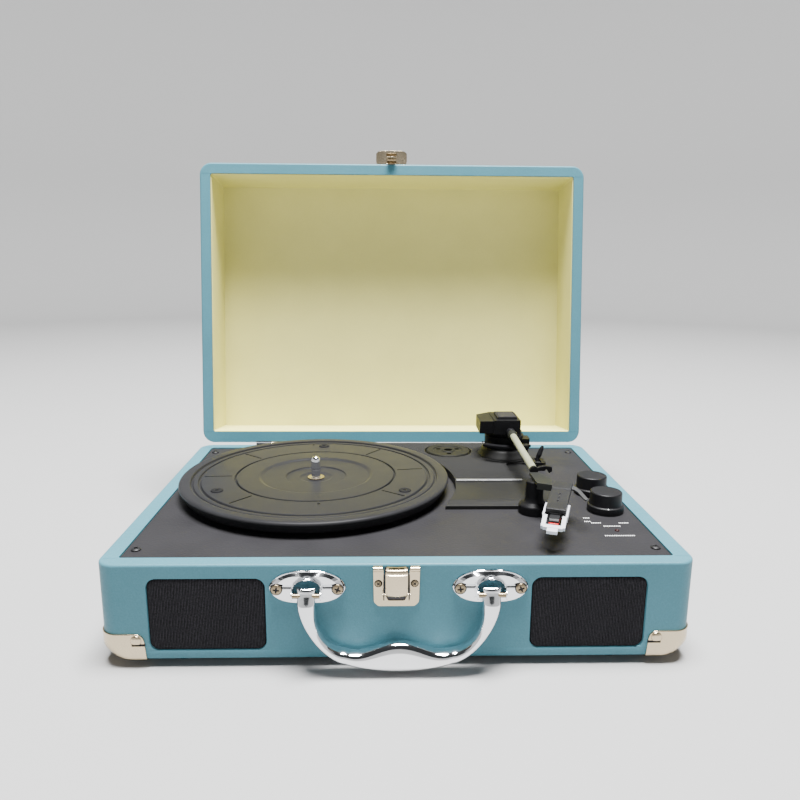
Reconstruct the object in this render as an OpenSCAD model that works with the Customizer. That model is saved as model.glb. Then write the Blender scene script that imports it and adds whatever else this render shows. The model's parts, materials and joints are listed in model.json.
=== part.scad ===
// Portable suitcase record player: hinged case, belt-driven platter, pivoted tonearm.
// Millimetres. +Z is up, +X is to the right seen from the front, -Y is the front.
// The floor is z = 0 and the z axis passes through the middle of the open player.

/* [Case] */
// Width of the case, left to right
case_w = 350; // [340:1:370]
// Depth of the case, front to back
case_d = 254; // [252:1:270]
// Height of the base without its feet
base_h = 60.2; // [58:0.2:66]
// Thickness of the side walls
wall_side = 11; // [8:0.5:12]
// Thickness of the front and back walls
wall_front = 10; // [8:0.5:11]
// Radius of the upright corners, in plan
corner_r = 11; // [8:0.5:14]
// Thickness of the bottom board
floor_t = 5; // [3:0.5:6]
// Height of the rubber feet
foot_h = 5; // [4:0.5:8]

/* [Lid] */
// Outer height of the lid
lid_h = 54.5; // [52:0.5:60]
// Thickness of the lid's walls
lid_wall = 9.6; // [8:0.2:11]
// How far the lid stands open, from closed
lid_open = 98.6; // [92:0.2:105]
// Gap between the two rims when the lid is shut
rim_gap = 0.6; // [0.4:0.1:1]

/* [Deck] */
// Height of the deck above the base's underside
deck_top = 59.2; // [58:0.1:60]
// Thickness of the deck plate
deck_t = 2.5; // [2:0.25:3]
// Height of the raised tonearm panel above the deck
panel_h = 6; // [5:0.5:7]

/* [Platter] */
// Radius of the platter
platter_r = 100.3; // [96:0.1:101]
// Height of the platter's rim above the base's underside
platter_top = 70.5; // [70:0.1:71]
// Platter centre, left of the middle of the case
platter_x = -60; // [-62:0.5:-58]
// Platter centre, behind the middle of the case
platter_y = 10; // [8:0.5:12]
// Radius of the spindle that a record's hole goes over
spindle_r = 3.55; // [3.5:0.01:3.6]

/* [Tonearm] */
// Height of the tonearm's tube where it leaves the head
tube_z = 89; // [88.5:0.1:89.5]
// Outside diameter of the tube
tube_d = 4.4; // [4:0.1:5]
// Angle between the tube and the headshell
shell_angle = 19.65; // [18:0.05:22]
// Width of the headshell
shell_w = 12.4; // [12:0.1:13]
// Length of the headshell
shell_len = 47.6; // [46:0.1:49]

/* [Controls] */
// Radius of a knob's barrel
knob_r = 11; // [9:0.5:12]
// Radius of a knob's skirt
knob_skirt_r = 12.5; // [12:0.1:13]
// Height of a knob above the deck
knob_h = 14.5; // [12:0.5:18]

/* [Handle] */
// Distance between the handle's two ends, centre to centre
handle_span = 106; // [104:0.5:110]
// Thickness of the handle, front to back
handle_t = 8; // [7:0.5:9]
// Height of the handle's pins above the base's underside
handle_z = 44.5; // [44:0.25:46]

/* [Hidden] */

$fn = 64;
run = 0.05;            // radial clearance of a running fit
shaft_r = 4;           // the spindle's thicker part, below a record
gap = 0.3;             // clearance between pieces that move past each other
case_y = -41;          // the case sits forward of the origin, because the open lid reaches back
front = -case_d / 2;   // y of the front face
back = case_d / 2;     // y of the back face
in_x = case_w / 2 - wall_side;    // half width of the space inside the base
in_y = case_d / 2 - wall_front;   // half depth of the space inside the base
panel_top = deck_top + panel_h;

// The lid's hinge line, just behind the back wall
hinge_y = back + 1.4;
hinge_z = base_h + rim_gap / 2;
hinge_x = 105;         // middle of each hinge
hinge_w = 42;
hinge_r = 2;           // outside of the knuckles
hinge_pin_r = 0.9;
lid_z = base_h + rim_gap;         // the lid's rim, when shut
lid_top = lid_z + lid_h;
lid_board = 3.2;       // thickness of the lid's top board
lining_t = 0.8;

// Tonearm: the upright pivot, and the cross axis that it lifts about
arm_x = 95;
arm_y = 80;
lift_z = 92.5;
tube_x = 97;
tube_start_y = 54;
tube_end_y = -30;
tube_drop = 3;         // how much lower the tube is at its far end
collar_gap = 0.1;      // between the tube and the black collar
shell_pos = [112.8, -52, 84];     // top of the headshell, in the middle of its back edge
shell_tilt = 2.4;
rest_pos = [95.5, -43];

// Belt drive
motor_pos = [-115, 65];
belt_ring_r = 61;
pulley_r = 5;
belt_low = deck_top + 2.3;
belt_h = 3.6;
belt_t = 0.6;

// Places on the deck
knob_rear_pos = [147, -4.5];
knob_front_pos = [146.5, -40.5];
led_pos = [143, -77];
deck_screw_pos = [158, 104];
adapter_pos = [48, 90];
adapter_r = 19;
cue_pos = [120, 57];
cue_axis_z = deck_top + 3.8;

// Front of the case
grille_x = 111.75;     // middle of each loudspeaker opening
grille_w = 68.5;
grille_low = 6;
grille_high = 51.5;
grille_r = 6;
latch_x = -1.5;
latch_w = 27;
latch_low = 34.4;
handle_y = front - 8;             // the handle's pins stand in front of the case
handle_low = -3.2;                // underside of the grip, above the floor at -foot_h
pin_r = 1.4;

// Back of the case
socket_z = 30;
panel_x = 110;
phono_x = [88, 102];
headphone_x = 118;
inlet_x = 133;

black = "#26272a";
turquoise = "#6fb3c4";
cream = "#d8d2a4";
chrome = "#d6d8dc";
nickel = "#d2c9b4";

// ---- helpers ----------------------------------------------------------------

// Places a piece drawn in the case's own frame, whose origin is under the middle of the base
module placed() {
    translate([0, case_y, foot_h])
        children();
}

// Places a piece of the lid, drawn shut, at the angle it stands open
module lid_placed() {
    placed()
        translate([0, hinge_y, hinge_z])
            rotate([-lid_open, 0, 0])
                translate([0, -hinge_y, -hinge_z])
                    children();
}

// Rectangle with round corners, centred
module round_rect(w, h, r) {
    square([w - 2 * r, h], center = true);
    square([w, h - 2 * r], center = true);
    for (x = [-1, 1], y = [-1, 1])
        translate([x * (w / 2 - r), y * (h / 2 - r)])
            circle(r = r);
}

// Cylinder lying along X, centred on p
module rod_x(p, r, length) {
    translate(p)
        rotate([0, 90, 0])
            cylinder(r = r, h = length, center = true);
}

// Cylinder lying along Y, from p towards the back
module rod_y(p, r, length) {
    translate(p)
        rotate([-90, 0, 0])
            cylinder(r = r, h = length);
}

// Outline in x and z, given a thickness from y0 towards the back
module upright(y0, thick) {
    translate([0, y0 + thick, 0])
        rotate([90, 0, 0])
            linear_extrude(thick)
                children();
}

// Outline in y and z, given a width about x
module sideways(x, width) {
    translate([x - width / 2, 0, 0])
        rotate([90, 0, 90])
            linear_extrude(width)
                children();
}

// Screw with a domed head and a cross slot, its head standing out along +Z from the origin
module screw(r, head_h, length) {
    difference() {
        union() {
            rotate_extrude()
                polygon([[0, 0], [r, 0], [r, head_h * 0.45], [r * 0.7, head_h * 0.85],
                         [r * 0.35, head_h], [0, head_h]]);
            translate([0, 0, -length])
                cylinder(r = r * 0.45, h = length);
        }
        for (a = [45, 135])
            rotate([0, 0, a])
                translate([-r * 0.55, -r * 0.12, head_h * 0.5])
                    cube([r * 1.1, r * 0.24, head_h]);
    }
}

// Screw whose head faces the front, at x and z on a surface at y
module front_screw(x, y, z, r, head_h, length) {
    translate([x, y, z])
        rotate([90, 0, 0])
            screw(r, head_h, length);
}

// ---- case -------------------------------------------------------------------

module case_outline() {
    round_rect(case_w, case_d, corner_r);
}

// Turned space that the hinge knuckles need in both back walls
module hinge_space() {
    for (x = [-hinge_x, hinge_x])
        rod_x([x, hinge_y, hinge_z], hinge_r + 0.4, hinge_w + 1);
}

module case_shell() {
    block = 20;        // corner blocks that the deck is screwed down to
    color(turquoise)
    placed()
    difference() {
        union() {
            difference() {
                linear_extrude(base_h)
                    case_outline();
                translate([0, 0, floor_t])
                    linear_extrude(base_h)
                        round_rect(2 * in_x, 2 * in_y, 2);
            }
            for (x = [-1, 1], y = [-1, 1])
                translate([x * (in_x - block / 2), y * (in_y - block / 2), 0])
                    translate([-block / 2, -block / 2, floor_t - 1])
                        cube([block, block, deck_top - deck_t - floor_t + 1]);
        }
        for (s = [-1, 1])
            grille_space(s * grille_x);
        hinge_space();
        upright(back - wall_front - 1, wall_front + 2)
            translate([panel_x, socket_z])
                round_rect(66, 18, 2);
        upright(back - 1.5, 3)
            translate([panel_x, socket_z])
                round_rect(76, 26, 3);
        for (x = [-1, 1], y = [-1, 1])
            translate([x * deck_screw_pos[0], y * deck_screw_pos[1], base_h - 20])
                cylinder(r = 1.4, h = 30);
    }
}

// Recess for the cloth and the round hole behind it
module grille_space(x) {
    middle = (grille_low + grille_high) / 2;
    upright(front - 1, 3.5)
        translate([x, middle])
            round_rect(grille_w, grille_high - grille_low, grille_r);
    rod_y([x, front - 1, middle], 21, wall_front + 2);
}

// One pressed metal corner, hugging an upright corner of a box from z = 0 upwards
module corner_cap(height, reach, thick) {
    difference() {
        intersection() {
            translate([0, 0, -thick])
                linear_extrude(height + thick)
                    round_rect(case_w + 2 * thick, case_d + 2 * thick, corner_r + thick);
            translate([case_w / 2 - reach, case_d / 2 - reach, -thick])
                cube([reach + 2 * thick, reach + 2 * thick, height + thick]);
        }
        linear_extrude(height + 1)
            case_outline();
        translate([case_w / 2 - reach - 1, case_d / 2 - reach - 1, -thick - 1])
            rotate([0, 0, 45])
                translate([-reach, -reach, 0])
                    cube([2 * reach, 2 * reach, thick + 2]);
    }
    for (side = [0, 1])
        corner_nail(side, height, reach, thick);
}

// Domed nail head on one of the two faces of a corner
module corner_nail(side, height, reach, thick) {
    head_r = 2.4;
    along = reach - 6;
    if (side == 0)
        translate([case_w / 2 - along, case_d / 2 + thick, height / 2])
            rotate([-90, 0, 0])
                cylinder(r1 = head_r, r2 = head_r * 0.5, h = 1);
    else
        translate([case_w / 2 + thick, case_d / 2 - along, height / 2])
            rotate([0, 90, 0])
                cylinder(r1 = head_r, r2 = head_r * 0.5, h = 1);
}

module four_corners(height, reach, thick) {
    for (mx = [0, 1], my = [0, 1])
        mirror([mx, 0, 0])
            mirror([0, my, 0])
                corner_cap(height, reach, thick);
}

module case_corners() {
    color(nickel)
    placed()
        four_corners(16.5, 26, 0.8);
}

module feet() {
    color(black)
    placed()
    for (x = [-129, 129], y = [-113, 113])
        translate([x, y, -foot_h])
            rotate_extrude()
                polygon([[0, 0], [5.2, 0], [6, 0.8], [6.4, foot_h], [0, foot_h]]);
}

module grille(x) {
    color(black)
    placed()
    upright(front + 0.5, 2)
        translate([x, (grille_low + grille_high) / 2])
            round_rect(grille_w - 0.4, grille_high - grille_low - 0.4, grille_r - 0.2);
}

module grille_left() {
    grille(-grille_x);
}

module grille_right() {
    grille(grille_x);
}

// Round loudspeaker screwed behind the front wall: frame, cone, basket and magnet
module speaker(x) {
    color("#3a3b3d")
    placed()
    translate([x, front + wall_front, (grille_low + grille_high) / 2 + 2])
        rotate([-90, 0, 0])
            rotate_extrude()
                polygon([[6, 4], [20, 0], [25, 0], [25, 1.6], [21, 1.8], [15, 11],
                         [15, 13], [16, 13], [16, 21], [0, 21], [0, 4]]);
}

module speaker_left() {
    speaker(-grille_x);
}

module speaker_right() {
    speaker(grille_x);
}

// ---- handle -----------------------------------------------------------------

plate_w = 42.6;
plate_h = 22;
plate_z = 46;          // height of the plates' middle
plate_screw_x = 16.2;  // screws, from the middle of their plate

// Height of the boat-shaped plate's edge at t from -1 to 1 along its width
function plate_edge(t) = plate_h / 2 * pow(max(0, 1 - pow(abs(t), 2.4)), 0.62);

module plate_outline() {
    steps = 20;
    polygon(concat(
        [for (i = [0:steps]) let (t = -1 + 2 * i / steps) [t * plate_w / 2, plate_edge(t)]],
        [for (i = [1:steps - 1]) let (t = 1 - 2 * i / steps) [t * plate_w / 2, -plate_edge(t)]]));
}

// Boat-shaped plate with a hood and two ears that hold the handle's pin
module handle_plate(side) {
    x = side * handle_span / 2;
    ear_x = 6.9;
    ear_t = 3.4;
    color(chrome)
    placed()
    difference() {
        union() {
            upright(front - 2, 2)
                translate([x, plate_z])
                    plate_outline();
            for (s = [-1, 1])
                sideways(x + s * (ear_x + ear_t / 2), ear_t)
                    polygon([[front - 1, 37], [handle_y - 2.6, 41.5], [handle_y - 2.6, 46.5],
                             [front - 1, 54.5]]);
            sideways(x, 2 * ear_x + 1)
                polygon([[front - 1, 51.6], [handle_y + 2.4, 51.6], [front - 1, 54.6]]);
        }
        rod_x([x, handle_y, handle_z], pin_r, 40);
        for (s = [-1, 1])
            rod_y([x + s * plate_screw_x, front - 6, plate_z], 1.5, 7);
    }
}

module handle_plate_left() {
    handle_plate(-1);
}

module handle_plate_right() {
    handle_plate(1);
}

module handle_pins() {
    color(nickel)
    placed()
    for (s = [-1, 1])
        rod_x([s * handle_span / 2, handle_y, handle_z], pin_r, 21);
}

module handle_screws() {
    color(nickel)
    placed()
    for (s = [-1, 1], e = [-1, 1])
        front_screw(s * handle_span / 2 + e * plate_screw_x, front - 2, plate_z, 3.15, 1.4, 2);
}

// The handle hangs from its pins: two arms, two bends, and a grip with a humped top
grip_half = 31;        // half length of the straight part of the grip
grip_bow = 6;          // how far the underside rises towards the bends
grip_mid_h = 19;       // height of the grip in its middle
grip_end_h = 8.2;      // height where it meets the bends
arm_w = 10.6;          // width of the arms at the pins
bend_steps = 8;

// Underside of the grip, a shallow bow
function grip_low(x) = handle_low + grip_bow * pow(x / grip_half, 2);
// Top of the grip, a hump between two dips
function grip_high(x) = let (t = abs(x) / grip_half)
    grip_low(x) + grip_end_h + (grip_mid_h - grip_end_h) * (0.5 + 0.5 * cos(180 * min(1, t)));

// One edge of a bend, from the grip's end up to where the arm is upright.
// end_x and rise are the edge's end, and a squareness above 1 makes it straighter than an ellipse.
function bend(side, low, end_x, rise, squareness) =
    [for (i = [1:bend_steps]) let (a = 90 * i / bend_steps)
        [side * (grip_half + (end_x - grip_half) * pow(sin(a), squareness)),
         low + rise * (1 - pow(cos(a), squareness))]];

module handle_outline() {
    grip = [for (i = [-10:10]) grip_half * i / 10];
    top_out = handle_span / 2 + arm_w / 2;
    top_in = handle_span / 2 - arm_w / 2;
    outer_right = bend(1, grip_low(grip_half), top_out, 36, 1.3);
    outer_left = bend(-1, grip_low(grip_half), top_out, 36, 1.3);
    inner_right = bend(1, grip_high(grip_half), top_in, 22, 1.05);
    inner_left = bend(-1, grip_high(grip_half), top_in, 22, 1.05);
    polygon(concat(
        [for (x = grip) [x, grip_low(x)]],
        outer_right,
        [[top_out, handle_z], [top_in, handle_z]],
        [for (i = [bend_steps - 1:-1:0]) inner_right[i]],
        [for (i = [20:-1:0]) [grip[i], grip_high(grip[i])]],
        inner_left,
        [[-top_in, handle_z], [-top_out, handle_z]],
        [for (i = [bend_steps - 1:-1:0]) outer_left[i]]));
}

module handle() {
    color(chrome)
    placed()
    difference() {
        union() {
            upright(handle_y - handle_t / 2, handle_t)
                handle_outline();
            for (s = [-1, 1])
                rod_x([s * handle_span / 2, handle_y, handle_z], handle_t / 2 + 0.6, arm_w);
        }
        for (s = [-1, 1])
            rod_x([s * handle_span / 2, handle_y, handle_z], pin_r + run, arm_w + 2);
    }
}

// ---- latch ------------------------------------------------------------------

latch_axis_y = front - 4.2;
latch_axis_z = latch_low + 8.6;
latch_pin_r = 0.8;
lever_w = 13.4;

module latch_plate() {
    cheek = 1.1;
    color(nickel)
    placed()
    difference() {
        union() {
            upright(front - 1.2, 1.2)
                translate([latch_x, (latch_low + deck_top) / 2])
                    round_rect(latch_w, deck_top - latch_low, 2.4);
            for (s = [-1, 1])
                sideways(latch_x + s * (lever_w / 2 + gap + cheek / 2), cheek)
                    polygon([[front - 1, latch_low + 2.5], [latch_axis_y - 1.6, latch_low + 6.5],
                             [latch_axis_y - 1.6, latch_low + 11], [front - 1, latch_low + 22]]);
        }
        upright(front - 3, 4)
            translate([latch_x, latch_low + 5.2])
                round_rect(lever_w + 0.8, 6.4, 0.8);
        rod_x([latch_x, latch_axis_y, latch_axis_z], latch_pin_r, 30);
        for (s = [-1, 1])
            rod_y([latch_x + s * 10.4, front - 4, latch_low + 14.4], 1, 5);
    }
}

module latch_pin() {
    color(nickel)
    placed()
        rod_x([latch_x, latch_axis_y, latch_axis_z], latch_pin_r, lever_w + 2 * (gap + 1.1));
}

module latch_screws() {
    color(nickel)
    placed()
    for (s = [-1, 1])
        front_screw(latch_x + s * 10.4, front - 1.2, latch_low + 14.4, 1.9, 0.9, 1.2);
}

// Sprung lever that the lid's tongue drops into
module latch_lever() {
    color(nickel)
    placed()
    difference() {
        sideways(latch_x, lever_w)
            polygon([[front - 2, latch_low + 3.4], [front - 4.4, latch_low + 2.6],
                     [front - 7.2, latch_low + 6], [front - 7.6, latch_low + 14],
                     [front - 7, deck_top - 0.8], [front - 6.4, deck_top + 0.2],
                     [front - 1.8, deck_top + 0.2], [front - 1.8, latch_low + 12]]);
        rod_x([latch_x, latch_axis_y, latch_axis_z], latch_pin_r + run, 30);
        translate([latch_x - 4.9, front - 5.9, deck_top - 7.4])
            cube([9.8, 2.9, 12]);
    }
}

// ---- hinges -----------------------------------------------------------------

leaf_t = 0.9;
leaf_h = 17;
knuckle = 14;          // length of the lid's knuckle, in the middle of each hinge
side_knuckle = 13.4;   // length of the case's knuckles, either side of it
leaf_reach = hinge_r + 0.4;       // how far from the hinge line the leaves begin

// Case half of a hinge: leaf, two outer knuckles and the fixed pin
module hinge_half(x) {
    color(nickel)
    placed() {
        difference() {
            union() {
                translate([x - hinge_w / 2, back, hinge_z - leaf_reach - leaf_h])
                    cube([hinge_w, leaf_t, leaf_h]);
                for (s = [-1, 1])
                    hinge_knuckle(x + s * (knuckle / 2 + gap + side_knuckle / 2), side_knuckle, -1);
            }
            for (s = [-1, 1])
                rod_y([x + s * 13, back - 1, hinge_z - leaf_reach - leaf_h / 2], 1.4, 4);
        }
        rod_x([x, hinge_y, hinge_z], hinge_pin_r, knuckle + 2 * gap + 2);
    }
}

// One knuckle, with the strip that joins it to a leaf above (1) or below (-1)
module hinge_knuckle(x, length, side) {
    rod_x([x, hinge_y, hinge_z], hinge_r, length);
    translate([x - length / 2, back, side > 0 ? hinge_z : hinge_z - hinge_r - 1])
        cube([length, leaf_t, hinge_r + 1]);
}

module hinge_left() {
    hinge_half(-hinge_x);
}

module hinge_right() {
    hinge_half(hinge_x);
}

// ---- deck -------------------------------------------------------------------

module deck_plate() {
    color(black)
    placed()
    difference() {
        translate([0, 0, deck_top - deck_t])
            linear_extrude(deck_t)
                round_rect(2 * in_x - 0.6, 2 * in_y - 0.6, 1.6);
        translate([0, 0, deck_top - deck_t - 1]) {
            translate([platter_x, platter_y, 0])
                cylinder(r = 6, h = deck_t + 2);
            translate([motor_pos[0], motor_pos[1], 0])
                cylinder(r = 5, h = deck_t + 2);
            for (p = [knob_rear_pos, knob_front_pos])
                translate([p[0], p[1], 0])
                    cylinder(r = 4.5, h = deck_t + 2);
            translate([led_pos[0], led_pos[1], 0])
                cylinder(r = 1.5, h = deck_t + 2);
            for (x = [-1, 1], y = [-1, 1])
                translate([x * deck_screw_pos[0], y * deck_screw_pos[1], 0])
                    cylinder(r = 1.4, h = deck_t + 2);
        }
    }
}

module deck_screws() {
    color(black)
    placed()
    for (x = [-1, 1], y = [-1, 1])
        translate([x * deck_screw_pos[0], y * deck_screw_pos[1], deck_top])
            rotate([0, 0, 20])
                screw(3, 1.5, 12);
}

// Raised panel beside the platter, that carries the tonearm
module arm_panel() {
    right = 114;
    left = -22;
    low_y = -38;
    high_y = in_y - 1.6;
    clear_r = platter_r + 5.7;
    color(black)
    placed()
    difference() {
        intersection() {
            translate([0, 0, deck_top])
                linear_extrude(panel_h + 1)
                    difference() {
                        translate([(left + right) / 2, (low_y + high_y) / 2])
                            round_rect(right - left, high_y - low_y, 5);
                        translate([platter_x, platter_y])
                            circle(r = clear_r, $fn = 128);
                        translate(rest_pos)
                            circle(r = 10.6);
                    }
            sideways((left + right) / 2, right - left + 2)
                polygon([[low_y - 1, deck_top - 1], [high_y + 1, deck_top - 1],
                         [high_y + 1, panel_top], [12, panel_top], [6, panel_top - 1.3],
                         [-30, panel_top - 1.3], [-36, panel_top - 3],
                         [low_y - 1, panel_top - 3.2]]);
        }
        translate([adapter_pos[0], adapter_pos[1], panel_top - 3.2])
            cylinder(r = adapter_r + 1.2, h = 10);
        translate([0, 0, panel_top - 1.6])
            linear_extrude(10)
                cue_pocket(8.6);
        translate([arm_x, arm_y, deck_top - 1])
            cylinder(r = 5, h = 12);
        translate([cue_post()[0], cue_post()[1], deck_top - 1])
            cylinder(r = 2 + run, h = 12);
    }
}

// Round-ended hollow in the panel, in front of the tonearm's base
module cue_pocket(r) {
    translate([101, 36])
        circle(r = r);
    translate([101 - r, 36])
        square([2 * r, 18]);
}

// ---- platter and its drive --------------------------------------------------

module spindle() {
    tip = 84;
    shoulder = 68;
    color(chrome)
    placed()
    translate([platter_x, platter_y, 0])
        rotate_extrude()
            polygon([[0, 40], [shaft_r, 40], [shaft_r, shoulder], [spindle_r, shoulder],
                     [spindle_r, tip - 3.4], [spindle_r - 0.35, tip - 2],
                     [spindle_r - 1.2, tip - 0.7], [spindle_r - 2.3, tip - 0.1], [0, tip]]);
}

// Flanged bush that holds the spindle in the deck, with the thrust ring on its top
module spindle_bush() {
    color("#a98f52")
    placed()
    translate([platter_x, platter_y, 0])
        rotate_extrude()
            polygon([[shaft_r, 42], [6, 42], [6, deck_top], [9, deck_top],
                     [9, deck_top + 0.7], [shaft_r, deck_top + 0.7]]);
}

module spindle_clip() {
    color(nickel)
    placed()
    translate([platter_x, platter_y, 67])
        difference() {
            cylinder(r = 6.3, h = 0.8);
            translate([0, 0, -1])
                cylinder(r = shaft_r, h = 3);
            translate([-1.2, 2, -1])
                cube([2.4, 8, 3]);
        }
}

// Turned platter: rim, mat, dished middle, hub and the ring that the belt runs on
module platter() {
    z = platter_top;
    under = z - 3.1;
    bore = shaft_r + run;
    color(black)
    placed()
    difference() {
        translate([platter_x, platter_y, 0])
            rotate_extrude($fn = 160)
                polygon([[bore, 60.2], [8, 60.2], [8, 63.5], [11, 65], [20, under - 1.3],
                         [40, under - 0.8], [43, under], [belt_ring_r - 3, under],
                         [belt_ring_r - 3, belt_low - 0.4], [belt_ring_r, belt_low - 0.4],
                         [belt_ring_r, under], [93.5, under - 0.4], [95.2, 62.6],
                         [97.2, 62.6], [98.4, 65.2], [platter_r, 67.8], [platter_r, 69],
                         [platter_r - 0.6, 69.9], [98, z], [91.6, z], [90, z - 1], [89.4, z - 1.5],
                         [88.6, z - 1.5], [88, z - 1], [84.6, z - 0.8], [84, z - 1.4], [83.2, z - 1.4],
                         [82.6, z - 0.6], [60.4, z - 0.6], [60, z - 1.3], [59, z - 1.3], [58.6, z - 0.6],
                         [42.6, z - 0.6], [40.4, z - 1.6], [23, z - 1.6], [22.3, z - 2.2],
                         [12.4, z - 2.2], [9.6, z - 3.8], [bore, z - 3.8]]);
        for (a = [12 : 60 : 360])
            translate([platter_x, platter_y, z - 1.1])
                rotate([0, 0, a])
                    translate([64, -0.35, 0])
                        cube([16.5, 0.7, 2]);
        for (p = [[-69.5, 90.7], [-52.3, -54.7]])
            translate([p[0], p[1], z - 8])
                cylinder(r = 1.1, h = 12);
    }
}

module platter_pads() {
    color("#17181a")
    placed()
    for (a = [-30, 90, 210])
        translate([platter_x, platter_y, platter_top - 0.6])
            rotate([0, 0, a])
                translate([76.5, 0, 0])
                    rotate_extrude()
                        polygon([[0.8, 0], [4.4, 0], [4.3, 0.6], [3.4, 0.9], [0.8, 0.6]]);
}

module motor() {
    color(nickel)
    placed()
    translate([motor_pos[0], motor_pos[1], 0])
        difference() {
            union() {
                translate([0, 0, 32])
                    cylinder(r = 16, h = deck_top - deck_t - 33.2);
                translate([0, 0, deck_top - deck_t - 1.2])
                    linear_extrude(1.2)
                        round_rect(48, 16, 6);
                translate([0, 0, 32])
                    cylinder(r = 3.4, h = deck_top - 32);
            }
            translate([0, 0, 36])
                cylinder(r = 1 + run, h = 40);
            for (s = [-1, 1])
                translate([s * 20, 0, 40])
                    cylinder(r = 1.6, h = 30);
        }
}

module motor_pulley() {
    color("#b9a15c")
    placed()
    translate([motor_pos[0], motor_pos[1], 0])
        rotate_extrude()
            polygon([[0, 36.5], [1, 36.5], [1, deck_top + 0.7], [3.2, deck_top + 0.7],
                     [3.2, belt_low - 0.8], [6.2, belt_low - 0.8], [6.2, belt_low - 0.3],
                     [pulley_r, belt_low - 0.3], [pulley_r, belt_low + belt_h + 0.3],
                     [6.2, belt_low + belt_h + 0.3], [6.2, belt_low + belt_h + 0.8],
                     [0, belt_low + belt_h + 0.8]]);
}

// Outline of a belt round the drive ring and the pulley, grown by extra
module belt_outline(extra) {
    away = motor_pos - [platter_x, platter_y];
    span = norm(away);
    big = belt_ring_r + extra;
    small = pulley_r + extra;
    lean = acos((big - small) / span);     // where the straight runs leave each arc
    big_steps = 96;
    small_steps = 14;
    translate([platter_x, platter_y])
        rotate([0, 0, atan2(away[1], away[0])])
            polygon(concat(
                [for (i = [0:big_steps]) let (a = lean + (360 - 2 * lean) * i / big_steps)
                    big * [cos(a), sin(a)]],
                [for (i = [0:small_steps]) let (a = -lean + 2 * lean * i / small_steps)
                    [span, 0] + small * [cos(a), sin(a)]]));
}

module drive_belt() {
    color("#1b1b1b")
    placed()
    translate([0, 0, belt_low])
        linear_extrude(belt_h)
            difference() {
                belt_outline(run + belt_t);
                belt_outline(run);
            }
}

// ---- electronics ------------------------------------------------------------

module circuit_board() {
    board_z = 14;
    color("#2f6b45")
    placed() {
        translate([60, 35, board_z])
            cube([72, 46, 1.6]);
        for (x = [64, 128], y = [39, 77])
            translate([x, y, floor_t])
                cylinder(r = 2.5, h = board_z - floor_t);
        for (p = [[74, 50], [74, 64], [88, 50]])
            translate([p[0], p[1], board_z + 1.6])
                cylinder(r = 4, h = 12);
        translate([100, 48, board_z + 1.6])
            cube([16, 16, 3]);
    }
}

// Rotary control under the deck, with its threaded neck standing up through the plate
module pot(p) {
    color("#8d9096")
    placed()
    translate([p[0], p[1], 0])
        difference() {
            union() {
                translate([-8, -8, 48])
                    cube([16, 16, deck_top - deck_t - 48]);
                translate([0, 0, 50])
                    cylinder(r = 4.5, h = deck_top - 0.1 - 50);
            }
            translate([0, 0, 47])
                cylinder(r = 3 + run, h = 20);
        }
}

module pot_rear() {
    pot(knob_rear_pos);
}

module pot_front() {
    pot(knob_front_pos);
}

module led() {
    color("#8c2f2a")
    placed()
    translate([led_pos[0], led_pos[1], 52])
        rotate_extrude()
            polygon([[0, 0], [1.5, 0], [1.5, deck_top - 52], [1.3, deck_top - 51.4],
                     [0.7, deck_top - 51], [0, deck_top - 50.9]]);
}

module rear_panel() {
    color(black)
    placed()
    difference() {
        upright(back - 1.5, 1.5)
            translate([panel_x, socket_z])
                round_rect(75.6, 25.6, 2.8);
        for (x = concat(phono_x, [headphone_x, inlet_x]))
            rod_y([x, back - 3, socket_z], x < headphone_x ? 4 : x == inlet_x ? 4.2 : 3.2, 5);
    }
}

// Two coaxial sockets, each a tube with an insulating plug and a centre hole
module phono_sockets() {
    color(chrome)
    placed()
    for (x = phono_x)
        translate([x, back - 7, socket_z])
            rotate([-90, 0, 0])
                rotate_extrude()
                    polygon([[1.65, 0], [4, 0], [4, 7], [6, 7], [6, 8.2], [4.15, 8.2], [4.15, 17],
                             [3.5, 17], [3.5, 15.8], [1.65, 15.8]]);
}

module headphone_socket() {
    color("#303236")
    placed()
    translate([headphone_x, back - 13, socket_z])
        rotate([-90, 0, 0])
            rotate_extrude()
                polygon([[0, 0], [3.2, 0], [3.2, 13], [4.6, 13], [4.6, 14.2], [1.8, 14.2],
                         [1.8, 1], [0, 1]]);
}

// Barrel inlet for the power adapter: a round hole with a centre contact
module power_inlet() {
    color("#303236")
    placed()
    translate([inlet_x, back - 12, socket_z])
        rotate([-90, 0, 0])
            rotate_extrude()
                polygon([[0, 0], [4.2, 0], [4.2, 12], [5.4, 12], [5.4, 13.2], [2.85, 13.2],
                         [2.85, 2], [1, 2], [1, 11], [0, 11]]);
}

// ---- tonearm ----------------------------------------------------------------

// Flared turret that the tonearm swings on
module arm_base() {
    color(black)
    placed()
    translate([arm_x, arm_y, 0])
        rotate_extrude()
            polygon([[4 + run, panel_top], [24, panel_top], [23.6, panel_top + 1], [19.2, 72],
                     [16.5, 73], [16.5, 83.5], [4 + run, 83.5]]);
}

// Swinging yoke: a spigot in the turret, a disc, and one ear between the head's cheeks
module arm_yoke() {
    color(black)
    placed()
    difference() {
        union() {
            translate([arm_x, arm_y, 68])
                cylinder(r = 4, h = 17);
            translate([arm_x, arm_y, 83.5 + gap])
                cylinder(r = 15, h = 2.4);
            sideways(arm_x, 5)
                polygon([[arm_y - 4, 85], [arm_y + 4, 85], [arm_y + 4, lift_z],
                         [arm_y - 4, lift_z]]);
            rod_x([arm_x, arm_y, lift_z], 4, 5);
        }
        rod_x([arm_x, arm_y, lift_z], 1.5 + run, 10);
    }
}

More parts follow.
